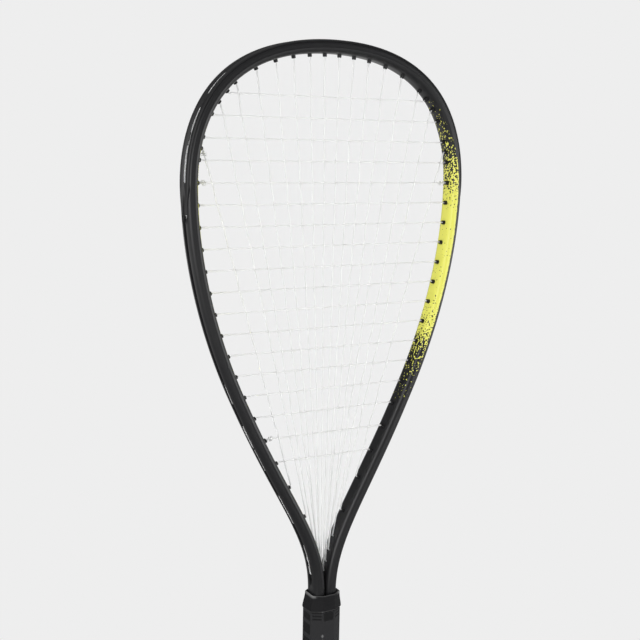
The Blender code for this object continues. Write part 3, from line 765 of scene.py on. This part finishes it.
def cross_route():
    """The whole cross string: a hitch, a long run in the groove to the first row, and the rows."""
    tie = Hole(-CROWN_ARCS[0])
    lane = -MAIN_UPPER_LANE[0]
    route = hitch(tie, lane, main_points(0))[::-1]
    route += groove_run(tie.s, lane, -ROW_ARCS[0], ROW_LANE[0], -PASSING_LANE)
    side = 1
    for row in range(ROWS):
        route += row_points(row)[::side]
        lanes = ROW_LANE.get(row, 0), ROW_LANE.get(row + 1, 0)
        if row + 1 < ROWS:
            route += groove_run(side * ROW_ARCS[row], lanes[0], side * ROW_ARCS[row + 1], lanes[1])
            side = -side
    knot = Hole(side * ROW_ARCS[CROSS_TIE_ROW])
    lane = -ROW_LANE[CROSS_TIE_ROW]
    route += groove_run(side * ROW_ARCS[-1], 0, knot.s, lane)
    return route + hitch(knot, lane, row_points(CROSS_TIE_ROW)[::-side])


def before_corner(corner, other):
    """Where the bend of a corner starts, on the way to the point beside it."""
    way = other - corner
    return corner + way * min(BEND_REACH / np.linalg.norm(way), BEND_SHARE)


def rounded(points):
    """The route with its sharp corners replaced by short bends."""
    points = np.array(points)
    keep = np.concatenate([[True], np.linalg.norm(np.diff(points, axis=0), axis=1) > 1e-6])
    points = points[keep]
    found = [points[0]]
    for before, corner, after in zip(points, points[1:], points[2:]):
        if unit(before - corner).dot(unit(after - corner)) < NEARLY_STRAIGHT:
            found.append(corner)
            continue
        start, end = before_corner(corner, before), before_corner(corner, after)
        found += [bend(start, corner, end, t) for t in np.linspace(0, 1, BEND_STEPS)]
    return np.array([*found, points[-1]])


def sweep(points):
    """A string along points, with rings that don't twist."""
    heads = unit(np.gradient(points, axis=0))
    side = unit(np.cross(heads[0], [0.3, 0.5, 0.8]))
    turn = 2 * np.pi * np.arange(STRING_SIDES) / STRING_SIDES
    c, s = np.cos(turn)[:, None], np.sin(turn)[:, None]
    rings = []
    for point, head in zip(points, heads):
        side = unit(side - head * side.dot(head))
        rings.append(point + STRING_RADIUS * (c * side + s * np.cross(head, side)))
    return loft(rings)


def make_string(name, node, route):
    """A string whose points know how far along and round it they are."""
    points = rounded(route)
    data = mesh_from(name, [sweep(points)])
    values = np.zeros((len(points), STRING_SIDES, 3))
    values[..., 0] = run_along(points)[:, None]
    values[..., 1] = np.arange(STRING_SIDES) / STRING_SIDES
    add_values(data, "string_place", values.reshape(-1, 3))
    add_object(name, data, node, NYLON, angle=70)


# Handle, as slim as in the photograph

# Half width, half depth, and half of the front and of the side face, at the top and at the butt
SLEEVE_SECTION = (0.0146, 0.0128, 0.0058, 0.0074)
BUTT_SECTION = (0.0170, 0.0143, 0.0078, 0.0084)
FLARE_FROM, FLARE_TO = 0.022, 0.070
FLARE_LEVELS = np.linspace(FLARE_FROM, FLARE_TO, 9)
CORNER_ROUND = 0.0007

SEAM = 0.1998
SLEEVE_TOP = SEAM - 0.0002
SLEEVE_FINE_TO = 0.130
SLEEVE_BOTTOM = 0.0163
SLEEVE_THICK = 0.0012
SLEEVE_ACROSS = 18
SLEEVE_EDGE = 0.0003
SLEEVE_EDGE_HEIGHT = 0.0005

PAD_DEPTH = 0.00035
PAD_EDGE = 0.00022
# Moulded pads: faces, share of the face's width, first place below the seam, pitch, how many,
# half height and rounded corner
PADS = [
    ((0, 4), 0.86, 0.0056, 0, 1, 0.0030, 0.0012),
    ((0, 4), 0.86, 0.0168, 0.0132, 13, 0.0046, 0.0012),
    ((2, 6), 0.88, 0.0044, 0.0396, 5, 0.0037, 0.0012),
    ((1, 3, 5, 7), 0.86, 0.0005, 0.0396, 5, 0.00085, 0.0007),
    ((1, 3, 5, 7), 0.86, 0.0034, 0.0396, 5, 0.00085, 0.0007),
    ((1, 3, 5, 7), 0.86, 0.0063, 0.0396, 5, 0.00085, 0.0007),
]
# Raised diamonds on the edges between faces, in groups with gaps
DIAMOND_EDGES = [((1, 5), 1), ((2, 6), -1)]
DIAMOND_PLACES = [p for p in 0.0214 + 0.0047 * np.arange(34) if p % 0.0396 >= 0.012]
DIAMOND_HALF_WIDTH = 0.0014
DIAMOND_HALF_HEIGHT = 0.0018
DIAMOND_HEIGHT = 0.0002

RIM = 0.2148
RIM_ROUND = 0.0008
SEAM_RISE = 0.0010
SEAM_RISE_HEIGHT = 0.006
COLLAR_PROUD = 0.0008
COLLAR_TAPER = 0.0008
COLLAR_WALL = 0.0010
COLLAR_ASKEW = 0.0006
COLLAR_ROUND = 0.0016
COLLAR_LIP = 0.00035
COLLAR_LIP_HEIGHT = 0.0006
COLLAR_STEP = 0.0004
# Corner of the collar's lower edge where the painted highlight is brightest, and where the rim's
# worn sides begin
SEAM_GLINT_CORNER = (0.0062, 0.0130)
WORN_SIDE_FROM = 0.0095

PALLET_TOP = 0.2032
PALLET_BOTTOM = 0.0033
PALLET_ROUND = 0.0005

CAP_HEIGHT = 0.0160
CAP_FLOOR = 0.0030
CAP_HEEL = 0.0021
CAP_ROUND = 0.0030
HEEL_ROUND = (0.0016, 0.0018)
HEEL_TOP = 0.0045
CAP_WAIST = 0.0066
CAP_STEP = 0.0002


def grip_polygon(z, by=0.0):
    """The eight corners of the grip at a height, with all faces moved in by the same distance."""
    share = smooth((z - FLARE_FROM) / (FLARE_TO - FLARE_FROM))
    x, y, front, side = np.array(BUTT_SECTION) * (1 - share) + np.array(SLEEVE_SECTION) * share
    quarter = [(x, -side), (x, side), (front, y), (-front, y)]
    corners = np.array(quarter + [(-a, -b) for a, b in quarter])
    edges = unit(np.roll(corners, -1, axis=0) - corners)
    outward = np.stack([edges[:, 1], -edges[:, 0]], 1)
    before = np.roll(outward, 1, axis=0)
    shift = (outward + before) / (1 + np.sum(outward * before, axis=1, keepdims=True))
    return corners - by * shift


def soft_polygon(corners, across=1, radius=CORNER_ROUND, steps=3):
    """A polygon with rounded corners, and each point's face and place on it from -1 to 1."""
    count = len(corners)
    back = unit(np.roll(corners, 1, axis=0) - corners)
    ahead = unit(np.roll(corners, -1, axis=0) - corners)
    opening = np.arccos(np.clip(np.sum(back * ahead, axis=1, keepdims=True), -1, 1))
    reach = radius * np.tan((math.pi - opening) / 2)
    starts, ends = corners + back * reach, corners + ahead * reach
    points, face, along = [], [], []
    for k in range(count):
        for t in np.linspace(0, 1, steps + 1):
            points.append(bend(starts[k], corners[k], ends[k], t))
            face.append(k if t >= 0.5 else (k - 1) % count)
            along.append(-1.0 if t >= 0.5 else 1.0)
        for t in np.arange(1, across) / across:
            points.append(ends[k] + (starts[(k + 1) % count] - ends[k]) * t)
            face.append(k)
            along.append(2 * t - 1)
    return np.array(points), np.array(face), np.array(along)


def at_height(points, z):
    return np.column_stack([points, np.full(len(points), z)])


def polygon_ring(z, by=0.0, radius=CORNER_ROUND, across=1, steps=3):
    return at_height(soft_polygon(grip_polygon(z, by), across, radius, steps)[0], z)


def make_rubber(name, node, rings, relief, material):
    """A rubber piece from rings round its wall, with the relief of the outer ones."""
    data = mesh_from(name, [loft(rings, ends=False)])
    values = np.zeros(len(data.vertices))
    values[: len(relief)] = relief
    add_values(data, "relief", values)
    add_object(name, data, node, material, angle=50)


def pad(across, height, half_across, half_height, corner):
    """How deep a rounded pad is at points given from its middle: 1 inside, 0 outside."""
    qx = np.abs(across) - (half_across - corner)
    qz = np.abs(height) - (half_height - corner)
    outside = np.hypot(np.maximum(qx, 0), np.maximum(qz, 0)) + np.minimum(np.maximum(qx, qz), 0)
    return 1 - smooth((outside - corner + PAD_EDGE) / (2 * PAD_EDGE))


def sleeve_pattern(face, across, half, below):
    """How deep the pads and how high the diamonds are at points of the eight faces."""
    depth, diamonds = np.zeros_like(across), np.zeros_like(across)
    for faces, width, first, pitch, count, tall, corner in PADS:
        for place_below in first + pitch * np.arange(count):
            pads = pad(across, below - place_below, half * width, tall, corner)
            depth = np.maximum(depth, np.isin(face, faces) * pads)
    for place_below in DIAMOND_PLACES:
        height = np.abs(below - place_below) / DIAMOND_HALF_HEIGHT
        for faces, edge in DIAMOND_EDGES:
            near = np.abs(across - edge * half) / DIAMOND_HALF_WIDTH + height
            diamonds = np.maximum(diamonds, np.isin(face, faces) * (1 - smooth(near - 0.2)))
    return depth, diamonds


def make_sleeve():
    """The eight-sided rubber sleeve with its moulded pads, bored for the foam body."""
    fine = np.linspace(SLEEVE_TOP, SLEEVE_FINE_TO, 190)
    coarse = np.linspace(SLEEVE_FINE_TO, SLEEVE_BOTTOM, 130)[1:]
    rings, relief = [], []
    for z in (*fine, *coarse):
        corners = grip_polygon(z)
        flat, face, along = soft_polygon(corners, SLEEVE_ACROSS)
        following = np.roll(corners, -1, axis=0)
        half = np.linalg.norm(following - corners, axis=1)[face] / 2
        depth, diamonds = sleeve_pattern(face, along * half, half, SEAM - z)
        to_edge = min(SLEEVE_TOP - z, z - SLEEVE_BOTTOM)
        sink = SLEEVE_EDGE * (1 - smooth(to_edge / SLEEVE_EDGE_HEIGHT))
        sink = sink + PAD_DEPTH * depth - DIAMOND_HEIGHT * diamonds
        normal = unit(corners + following)[face]
        rings.append(at_height(flat - normal * sink[:, None], z))
        relief.append(depth - diamonds)
    for z in (SLEEVE_BOTTOM, *FLARE_LEVELS, SLEEVE_TOP):
        rings.append(polygon_ring(z, SLEEVE_THICK, across=SLEEVE_ACROSS))
    make_rubber("rubber_sleeve", "rubber_grip", rings, np.concatenate(relief), RUBBER)


def collar_profile():
    """Height, distance in from the sleeve's outline and share of the lean, down to the bore."""
    profile = []
    for t in np.linspace(0, 1, 15):
        z = SEAM + (RIM - RIM_ROUND - SEAM) * t
        swell = COLLAR_PROUD * (1 - smooth(t * 1.1))
        lip = COLLAR_LIP * (1 - smooth((z - SEAM) / COLLAR_LIP_HEIGHT))
        profile.append((z, COLLAR_TAPER * smooth(t) - swell + lip, t))
    for turn in np.linspace(0, math.pi, 9)[1:]:
        z = RIM - RIM_ROUND + RIM_ROUND * math.sin(turn)
        profile.append((z, COLLAR_TAPER + COLLAR_WALL * (1 - math.cos(turn)) / 2, 1))
    profile.append((PALLET_TOP + COLLAR_STEP, COLLAR_TAPER + COLLAR_WALL + 0.0001, 1))
    profile.append((PALLET_TOP + 0.0003, SLEEVE_THICK, 0))
    profile.append((SEAM, SLEEVE_THICK, 0))
    return profile


def make_collar():
    """The ring over the sleeve's top edge, drawn in to a worn rim that sits a little askew, with a
    painted highlight along its lower edge.
    """
    rings, worn = [], []
    for z, by, askew in collar_profile():
        outside = by < SLEEVE_THICK
        ring = polygon_ring(z, by, COLLAR_ROUND, across=6, steps=5)
        ring[:, 0] += COLLAR_ASKEW * askew
        low = 1 - smooth((z - SEAM) / SEAM_RISE_HEIGHT)
        ring[:, 2] += SEAM_RISE * low * np.clip(-ring[:, 1] / SLEEVE_SECTION[1], 0, 1) * outside
        rings.append(ring)
        x, y = ring[:, 0], ring[:, 1]
        # Painted highlight: the collar's lower edge at the seam is painted greyer, most near two
        # opposite corners, as if catching light; the rim's sides and top edge are greyer with wear
        corner = np.hypot(np.abs(x) - SEAM_GLINT_CORNER[0], np.abs(y) - SEAM_GLINT_CORNER[1])
        glint_corner_share = (x * y > 0) * (1 - smooth(corner / COLLAR_ROUND))
        at_sides = smooth((np.abs(x) - WORN_SIDE_FROM) / 0.0025)
        rim_wear = smooth((z - RIM + 0.0030) / 0.0022) * at_sides
        rim_wear = np.maximum(rim_wear, 0.30 * smooth((z - RIM + 0.0009) / 0.0006))
        seam_highlight = (z == SEAM) * outside * (0.35 + 0.65 * glint_corner_share)
        worn.append(-np.maximum(rim_wear, seam_highlight))
    make_rubber("rubber_collar", "grip_collar", rings, np.concatenate(worn), COLLAR_RUBBER)


def shaft_line():
    """Half of the outline round both shafts, from right to left, with a small clearance."""
    depth = float(half_depth(SHAFT_END)) + FIT
    x, y = oval(np.linspace(0, math.pi / 2, 12), HALF_WIDTH + FIT, depth)
    right = list(zip(HALF_WIDTH + SHAFT_GAP / 2 + x, -y))
    return right + [(-x, y) for x, y in reversed(right)]


def make_foam(name, node, side):
    """Half of the handle's foam body, split in the middle plane."""
    split = -FIT / 2
    inner = [(x, min(y, split)) for x, y in shaft_line()]
    rings = []
    for z in (PALLET_BOTTOM, *FLARE_LEVELS, PALLET_TOP):
        outer = soft_polygon(grip_polygon(z, SLEEVE_THICK + FIT), radius=PALLET_ROUND)[0].tolist()
        front = sorted((p for p in outer if p[1] < -FIT), key=lambda p: math.atan2(p[1], p[0]))
        edge = min(front)[0]
        outline = [(edge, split), *front, (-edge, split), *inner]
        rings.append([(x, -side * y, z) for x, y in outline])
    add_object(name, mesh_from(name, [loft(rings)]), node, FOAM, angle=30)


def make_cap():
    """The closed end cap: a rounded heel outside and a socket for the foam body."""
    heel = -CAP_HEEL
    rise, deep = HEEL_ROUND
    profile = [(0.0, heel + 0.0060), (0.0, heel + deep)]
    for turn in np.linspace(0, math.pi / 2, 7)[1:]:
        profile.append((rise * (1 - math.cos(turn)), heel + deep * (1 - math.sin(turn))))
    profile += [(HEEL_TOP, heel), (CAP_WAIST, heel + CAP_STEP)]
    for t in np.linspace(0, 1, 9)[1:]:
        z = CAP_WAIST + (CAP_HEIGHT - CAP_WAIST - 2 * CAP_STEP) * t
        profile.append((z, heel * (1 - smooth(t)) + CAP_STEP))
    profile += [(CAP_HEIGHT, 3 * CAP_STEP), (CAP_HEIGHT, SLEEVE_THICK), (CAP_FLOOR, SLEEVE_THICK)]
    rings = [polygon_ring(z, by, CAP_ROUND, across=4, steps=6) for z, by in profile]
    data = mesh_from("end_cap", [loft(rings)])
    add_object("end_cap", data, "butt_cap", PLASTIC, angle=40)


# Finishes

# How much of the painted field is yellow, by the distance from the crown along the tube
YELLOW_COVER = [
    (0.105, 0.0), (0.118, 0.05), (0.129, 0.10), (0.1375, 0.16), (0.144, 0.23), (0.158, 0.24),
    (0.165, 0.30), (0.172, 0.41), (0.179, 0.57), (0.192, 0.63), (0.200, 0.78), (0.215, 1.0),
    (0.290, 1.0), (0.307, 0.78), (0.322, 0.66), (0.3295, 0.47), (0.337, 0.40), (0.3445, 0.28),
    (0.352, 0.25), (0.3595, 0.17), (0.367, 0.12), (0.375, 0.10), (0.3825, 0.06), (0.392, 0.0),
]
LEAST_COVER = 0.02
# The noise between which the speckles' grain runs from 0 to 1
GRAIN = (0.22, 0.78)
# The field's outer edge by the same distance: as a share of the face, and as a depth
FACE_EDGE = [
    (0.10, 0.0), (0.14, 0.30), (0.16, 0.66), (0.18, 0.84),
    (0.20, 0.86), (0.26, 0.90), (0.43, 0.90),
]
SIDE_EDGE = [(0.10, 0.0077), (0.21, 0.0077), (0.26, 0.0062), (0.43, 0.0062)]
FACE_FROM_U = -0.0054
FACE_WIDTH = 0.0070
SIDE_TO_U = -0.003
EDGE_WOBBLE = 0.0012
# Grey for worn edges and raised diamonds, and for the painted highlight on the collar's lower edge
GREY_FOR_WEAR_AND_HIGHLIGHT = (0.19, 0.19, 0.19)
PAD_RUBBER = (0.007, 0.007, 0.0075)


class Nodes:
    """Short ways to make and join the shader nodes of a new material or world."""

    def __init__(self, name, blocks=bpy.data.materials):
        self.block = blocks.new(name)
        self.block.use_nodes = True
        self.tree = self.block.node_tree
        self.shader = self.tree.nodes.get("Principled BSDF")

    def fill(self, node, values):
        """Sets a node's inputs by name or number, or links other nodes' outputs to them."""
        for name, value in values.items():
            socket = node.inputs[name]
            if isinstance(value, bpy.types.NodeSocket):
                self.tree.links.new(value, socket)
            else:
                socket.default_value = (*value, 1) if socket.type == "RGBA" else value

    def add(self, kind, values, output=0, **settings):
        """Makes a node and gives one of its outputs."""
        node = self.tree.nodes.new("ShaderNode" + kind)
        for name, value in settings.items():
            setattr(node, name, value)
        self.fill(node, values)
        return node.outputs[output]

    def math(self, operation, *values, clamp=False):
        return self.add("Math", dict(enumerate(values)), operation=operation, use_clamp=clamp)

    def scaled(self, value, factor, offset):
        return self.math("MULTIPLY_ADD", value, factor, offset)

    def between(self, value, low, high):
        """0 up to the low value, 1 from the high one, and the share of the way between."""
        return self.math("DIVIDE", self.math("SUBTRACT", value, low), high - low, clamp=True)

    def mix(self, share, first, second):
        return self.add("Mix", {0: share, 6: first, 7: second}, 2, data_type="RGBA")

    def blend(self, share, first, second):
        return self.add("MixShader", {0: share, 1: first, 2: second})

    def ray(self, kind):
        return self.add("LightPath", {}, f"Is {kind} Ray")

    def ramp(self, value, stops):
        """A piecewise linear curve of a value, as a float."""
        low, high = stops[0][0], stops[-1][0]
        output = self.add("FloatCurve", {"Value": self.between(value, low, high)})
        mapping = output.node.mapping
        points = mapping.curves[0].points
        while len(points) < len(stops):
            points.new(0.5, 0.5)
        for point, (x, y) in zip(points, stops):
            point.location = ((x - low) / (high - low), y)
            point.handle_type = "VECTOR"
        mapping.update()
        return output

    def stored(self, name):
        """The parts of a vector that the mesh stores for each point."""
        vector = self.add("Attribute", {}, "Vector", attribute_name=name)
        return self.add("SeparateXYZ", {0: vector}).node.outputs

    def here(self):
        return self.add("TexCoord", {}, "Object")

    def noise(self, scale, detail=2.0, roughness=0.5):
        values = {"Scale": scale, "Detail": detail, "Roughness": roughness}
        return self.add("TexNoise", {"Vector": self.here(), **values})

    def finish(self, colour, roughness, gloss, bump, **others):
        """Feeds the shader, with a bump's height, distance and strength, and gives the material."""
        bump = self.add("Bump", dict(zip(("Height", "Distance", "Strength"), bump)))
        values = {"Base Color": colour, "Roughness": roughness, "Specular IOR Level": gloss}
        self.fill(self.shader, {**values, "Normal": bump, **others})
        return self.block


def paint_material():
    """Black satin paint with the yellow field that breaks up into speckles at both ends."""
    n = Nodes("black_and_yellow_paint")
    s, u, v = n.stored("tube_place")
    arc = n.math("ABSOLUTE", s)
    # On the front of the right limb and the back of the left one the yellow wraps over the face
    on_face = n.math("LESS_THAN", n.math("MULTIPLY", v, n.math("SIGN", s)), 0.0)
    wobble = n.math("MULTIPLY", n.math("SUBTRACT", n.noise(420), 0.5), EDGE_WOBBLE)
    face_edge = n.scaled(n.ramp(arc, FACE_EDGE), FACE_WIDTH, FACE_FROM_U)
    face = n.math("MULTIPLY", n.math("LESS_THAN", n.math("ADD", u, wobble), face_edge), on_face)
    depth = n.math("ADD", n.math("ABSOLUTE", v), wobble)
    side = n.math("LESS_THAN", depth, n.ramp(arc, SIDE_EDGE))
    side = n.math("MULTIPLY", side, n.math("LESS_THAN", u, SIDE_TO_U))
    grain = n.between(n.noise(700, detail=0.0), *GRAIN)
    spots = n.math("GREATER_THAN", n.ramp(arc, YELLOW_COVER), n.math("MAXIMUM", grain, LEAST_COVER))
    yellow = n.math("MULTIPLY", n.math("MAXIMUM", face, side), spots)
    shade = n.noise(90)
    black = n.mix(shade, (0.010, 0.010, 0.011), (0.015, 0.015, 0.016))
    lemon = n.mix(shade, (0.74, 0.73, 0.115), (0.80, 0.79, 0.150))
    fine = n.noise(2600, detail=3)
    height = n.math("ADD", fine, n.math("MULTIPLY", yellow, 0.8))
    colour, rough = n.mix(yellow, black, lemon), n.scaled(fine, 0.12, 0.30)
    return n.finish(colour, rough, 0.4, (height, 0.00003, 0.5))


def plastic_material():
    """Moulded black plastic with a fine even grain."""
    n = Nodes("moulded_black_plastic")
    grain = n.noise(1900, detail=4, roughness=0.6)
    colour = n.mix(grain, (0.008, 0.008, 0.009), (0.014, 0.014, 0.015))
    return n.finish(colour, n.scaled(grain, 0.2, 0.36), 0.4, (grain, 0.00004, 0.6))


def nylon_material():
    """Clear, slightly milky string with a fine spiral wrap."""
    n = Nodes("clear_nylon_string")
    run, turn, _ = n.stored("string_place")
    wave = n.math("SINE", n.math("MULTIPLY", n.scaled(run, 900.0, turn), 2 * math.pi))
    colour = n.mix(n.noise(300), (0.93, 0.94, 0.93), (0.97, 0.97, 0.96))
    clear = {
        "Transmission Weight": 0.6,
        "Subsurface Weight": 1.0,
        "Subsurface Radius": (1.0, 1.0, 1.0),
        "Subsurface Scale": 0.0015,
        "IOR": 1.15,
    }
    return n.finish(colour, 0.5, 0.1, (wave, 0.00001, 0.3), **clear)


def rubber_material(name, dark, light, gloss):
    """Dull black rubber with a fine pebble, darker in the pads, and greyer on worn edges, raised
    diamonds and a painted highlight.
    """
    n = Nodes(name)
    relief = n.add("Attribute", {}, "Fac", attribute_name="relief")
    pads = n.math("MAXIMUM", relief, 0.0)
    # Below-zero relief is painted grey: worn rims, raised diamonds, and a painted highlight along
    # the collar's lower edge
    worn = n.math("MAXIMUM", n.math("MULTIPLY", relief, -1.0), 0.0)
    pebble = n.noise(1500, detail=3, roughness=0.65)
    colour = n.mix(pads, n.mix(pebble, dark, light), PAD_RUBBER)
    worn = n.math("MULTIPLY", worn, n.scaled(n.noise(240), 0.6, 0.5), clamp=True)
    height = n.math("MULTIPLY", pebble, n.scaled(pads, -0.8, 1.0))
    colour = n.mix(worn, colour, GREY_FOR_WEAR_AND_HIGHLIGHT)
    return n.finish(colour, n.scaled(pebble, 0.2, 0.56), gloss, (height, 0.00008, 0.7))


def foam_material():
    """Grey foam with open cells."""
    n = Nodes("grey_foam_body")
    cells = n.noise(2200)
    colour = n.mix(cells, (0.07, 0.07, 0.07), (0.14, 0.14, 0.14))
    return n.finish(colour, 0.9, 0.5, (cells, 0.0001, 0.8))


PAINT = paint_material()
PLASTIC = plastic_material()
NYLON = nylon_material()
RUBBER = rubber_material("soft_black_rubber", (0.016, 0.016, 0.017), (0.027, 0.027, 0.029), 0.25)
COLLAR_RUBBER = rubber_material(
    "smooth_black_rubber", (0.006, 0.006, 0.007), (0.011, 0.011, 0.012), 0.2
)
FOAM = foam_material()

make_frame()
make_guards()
make_string("mains", "main_string", main_route())
make_string("crosses", "cross_string", cross_route())
make_foam("front_foam", "front_pallet", -1)
make_foam("back_foam", "back_pallet", 1)
make_sleeve()
make_collar()
make_cap()


# Camera and studio

BACKDROP = (0.855, 0.855, 0.855)
ROOM = 0.50
ROOM_MIRRORED = 0.14
FLOOR_COLOUR = (0.80, 0.80, 0.80)
FLOOR_SIZE = 6.0
FLOOR_FADE = (0.16, 0.34)
# Painted reflection: how bright the floor glows in the gloss of the paint, by distance from the
# racket, in place of its lit colour
FLOOR_PAINTED_REFLECTION = [(0.0, 0.15), (0.5, 0.25), (1.0, 0.45), (1.8, 0.85), (4.0, 0.95)]


def add_camera():
    data = bpy.data.cameras.new("camera")
    data.sensor_width = SENSOR
    data.sensor_fit = "HORIZONTAL"
    data.lens = SENSOR * FOCAL_PIXELS / PICTURE_WIDTH
    data.clip_start = 0.01
    camera = new_object("camera", data)
    matrix = Matrix.Translation(CAMERA_AT)
    turns = (-CAMERA_TURN, "Z"), (math.pi / 2 - CAMERA_TILT, "X"), (CAMERA_ROLL, "Z")
    for angle, axis in turns:
        matrix = matrix @ Matrix.Rotation(angle, 4, axis)
    camera.matrix_world = matrix
    bpy.context.scene.camera = camera


def seen_directly(n):
    """1 for what the camera sees straight or through the strings."""
    return n.math("MAXIMUM", n.ray("Camera"), n.ray("Transmission"))


def add_floor():
    """A pale floor that keeps the shadow, runs into the backdrop farther out and glows as a painted
    reflection in gloss.
    """
    a = FLOOR_SIZE
    data = bpy.data.meshes.new("floor")
    data.from_pydata([(-a, -a, 0), (a, -a, 0), (a, a, 0), (-a, a, 0)], [], [(0, 1, 2, 3)])
    floor = new_object("floor", data)
    n = Nodes("pale_floor")
    distance = n.add("VectorMath", {0: n.here()}, "Value", operation="LENGTH")
    n.fill(n.shader, {"Base Color": FLOOR_COLOUR, "Roughness": 0.9})
    # Painted reflection: for gloss rays the floor is a glow set by distance, not its lit diffuse
    # colour
    painted_reflection = n.add("Emission", {"Strength": n.ramp(distance, FLOOR_PAINTED_REFLECTION)})
    near = n.blend(n.ray("Glossy"), n.shader.outputs[0], painted_reflection)
    glow = n.add("Emission", {"Color": BACKDROP})
    far = n.math("MULTIPLY", n.between(distance, *FLOOR_FADE), seen_directly(n))
    n.fill(n.tree.nodes["Material Output"], {"Surface": n.blend(far, near, glow)})
    data.materials.append(n.block)


def add_world():
    """An even backdrop for the camera and a dimmer grey room for the light."""
    n = Nodes("studio", bpy.data.worlds)
    bpy.context.scene.world = n.block
    room = n.tree.nodes["Background"]
    level = n.scaled(n.ray("Glossy"), ROOM_MIRRORED - ROOM, ROOM)
    n.fill(room, {"Color": (1, 1, 1), "Strength": level})
    backdrop = n.add("Background", {"Color": BACKDROP})
    mixed = n.blend(seen_directly(n), room.outputs[0], backdrop)
    n.fill(n.tree.nodes["World Output"], {"Surface": mixed})


def area_light(name, at, aim, size, power):
    data = bpy.data.lights.new(name, "AREA")
    data.shape = "RECTANGLE"
    data.size, data.size_y = size
    data.energy = power
    light = new_object(name, data)
    light.location = at
    light.visible_camera = False
    light.rotation_euler = (Vector(aim) - Vector(at)).to_track_quat("-Z", "Y").to_euler()


add_camera()
add_floor()
add_world()
area_light("key", (1.6, -1.1, 0.32), (0, 0, 0.40), (1.3, 0.9), 11)
area_light("fill", (-1.7, -1.3, 0.8), (0, 0, 0.40), (1.8, 1.5), 29)
area_light("top", (0.0, 0.2, 2.2), (0, 0, 0.3), (2.4, 2.4), 8)
area_light("bounce", (1.0, -0.3, 0.25), (1.0, -0.3, 0), (0.9, 0.9), 10)

bpy.context.scene.view_settings.view_transform = "Standard"
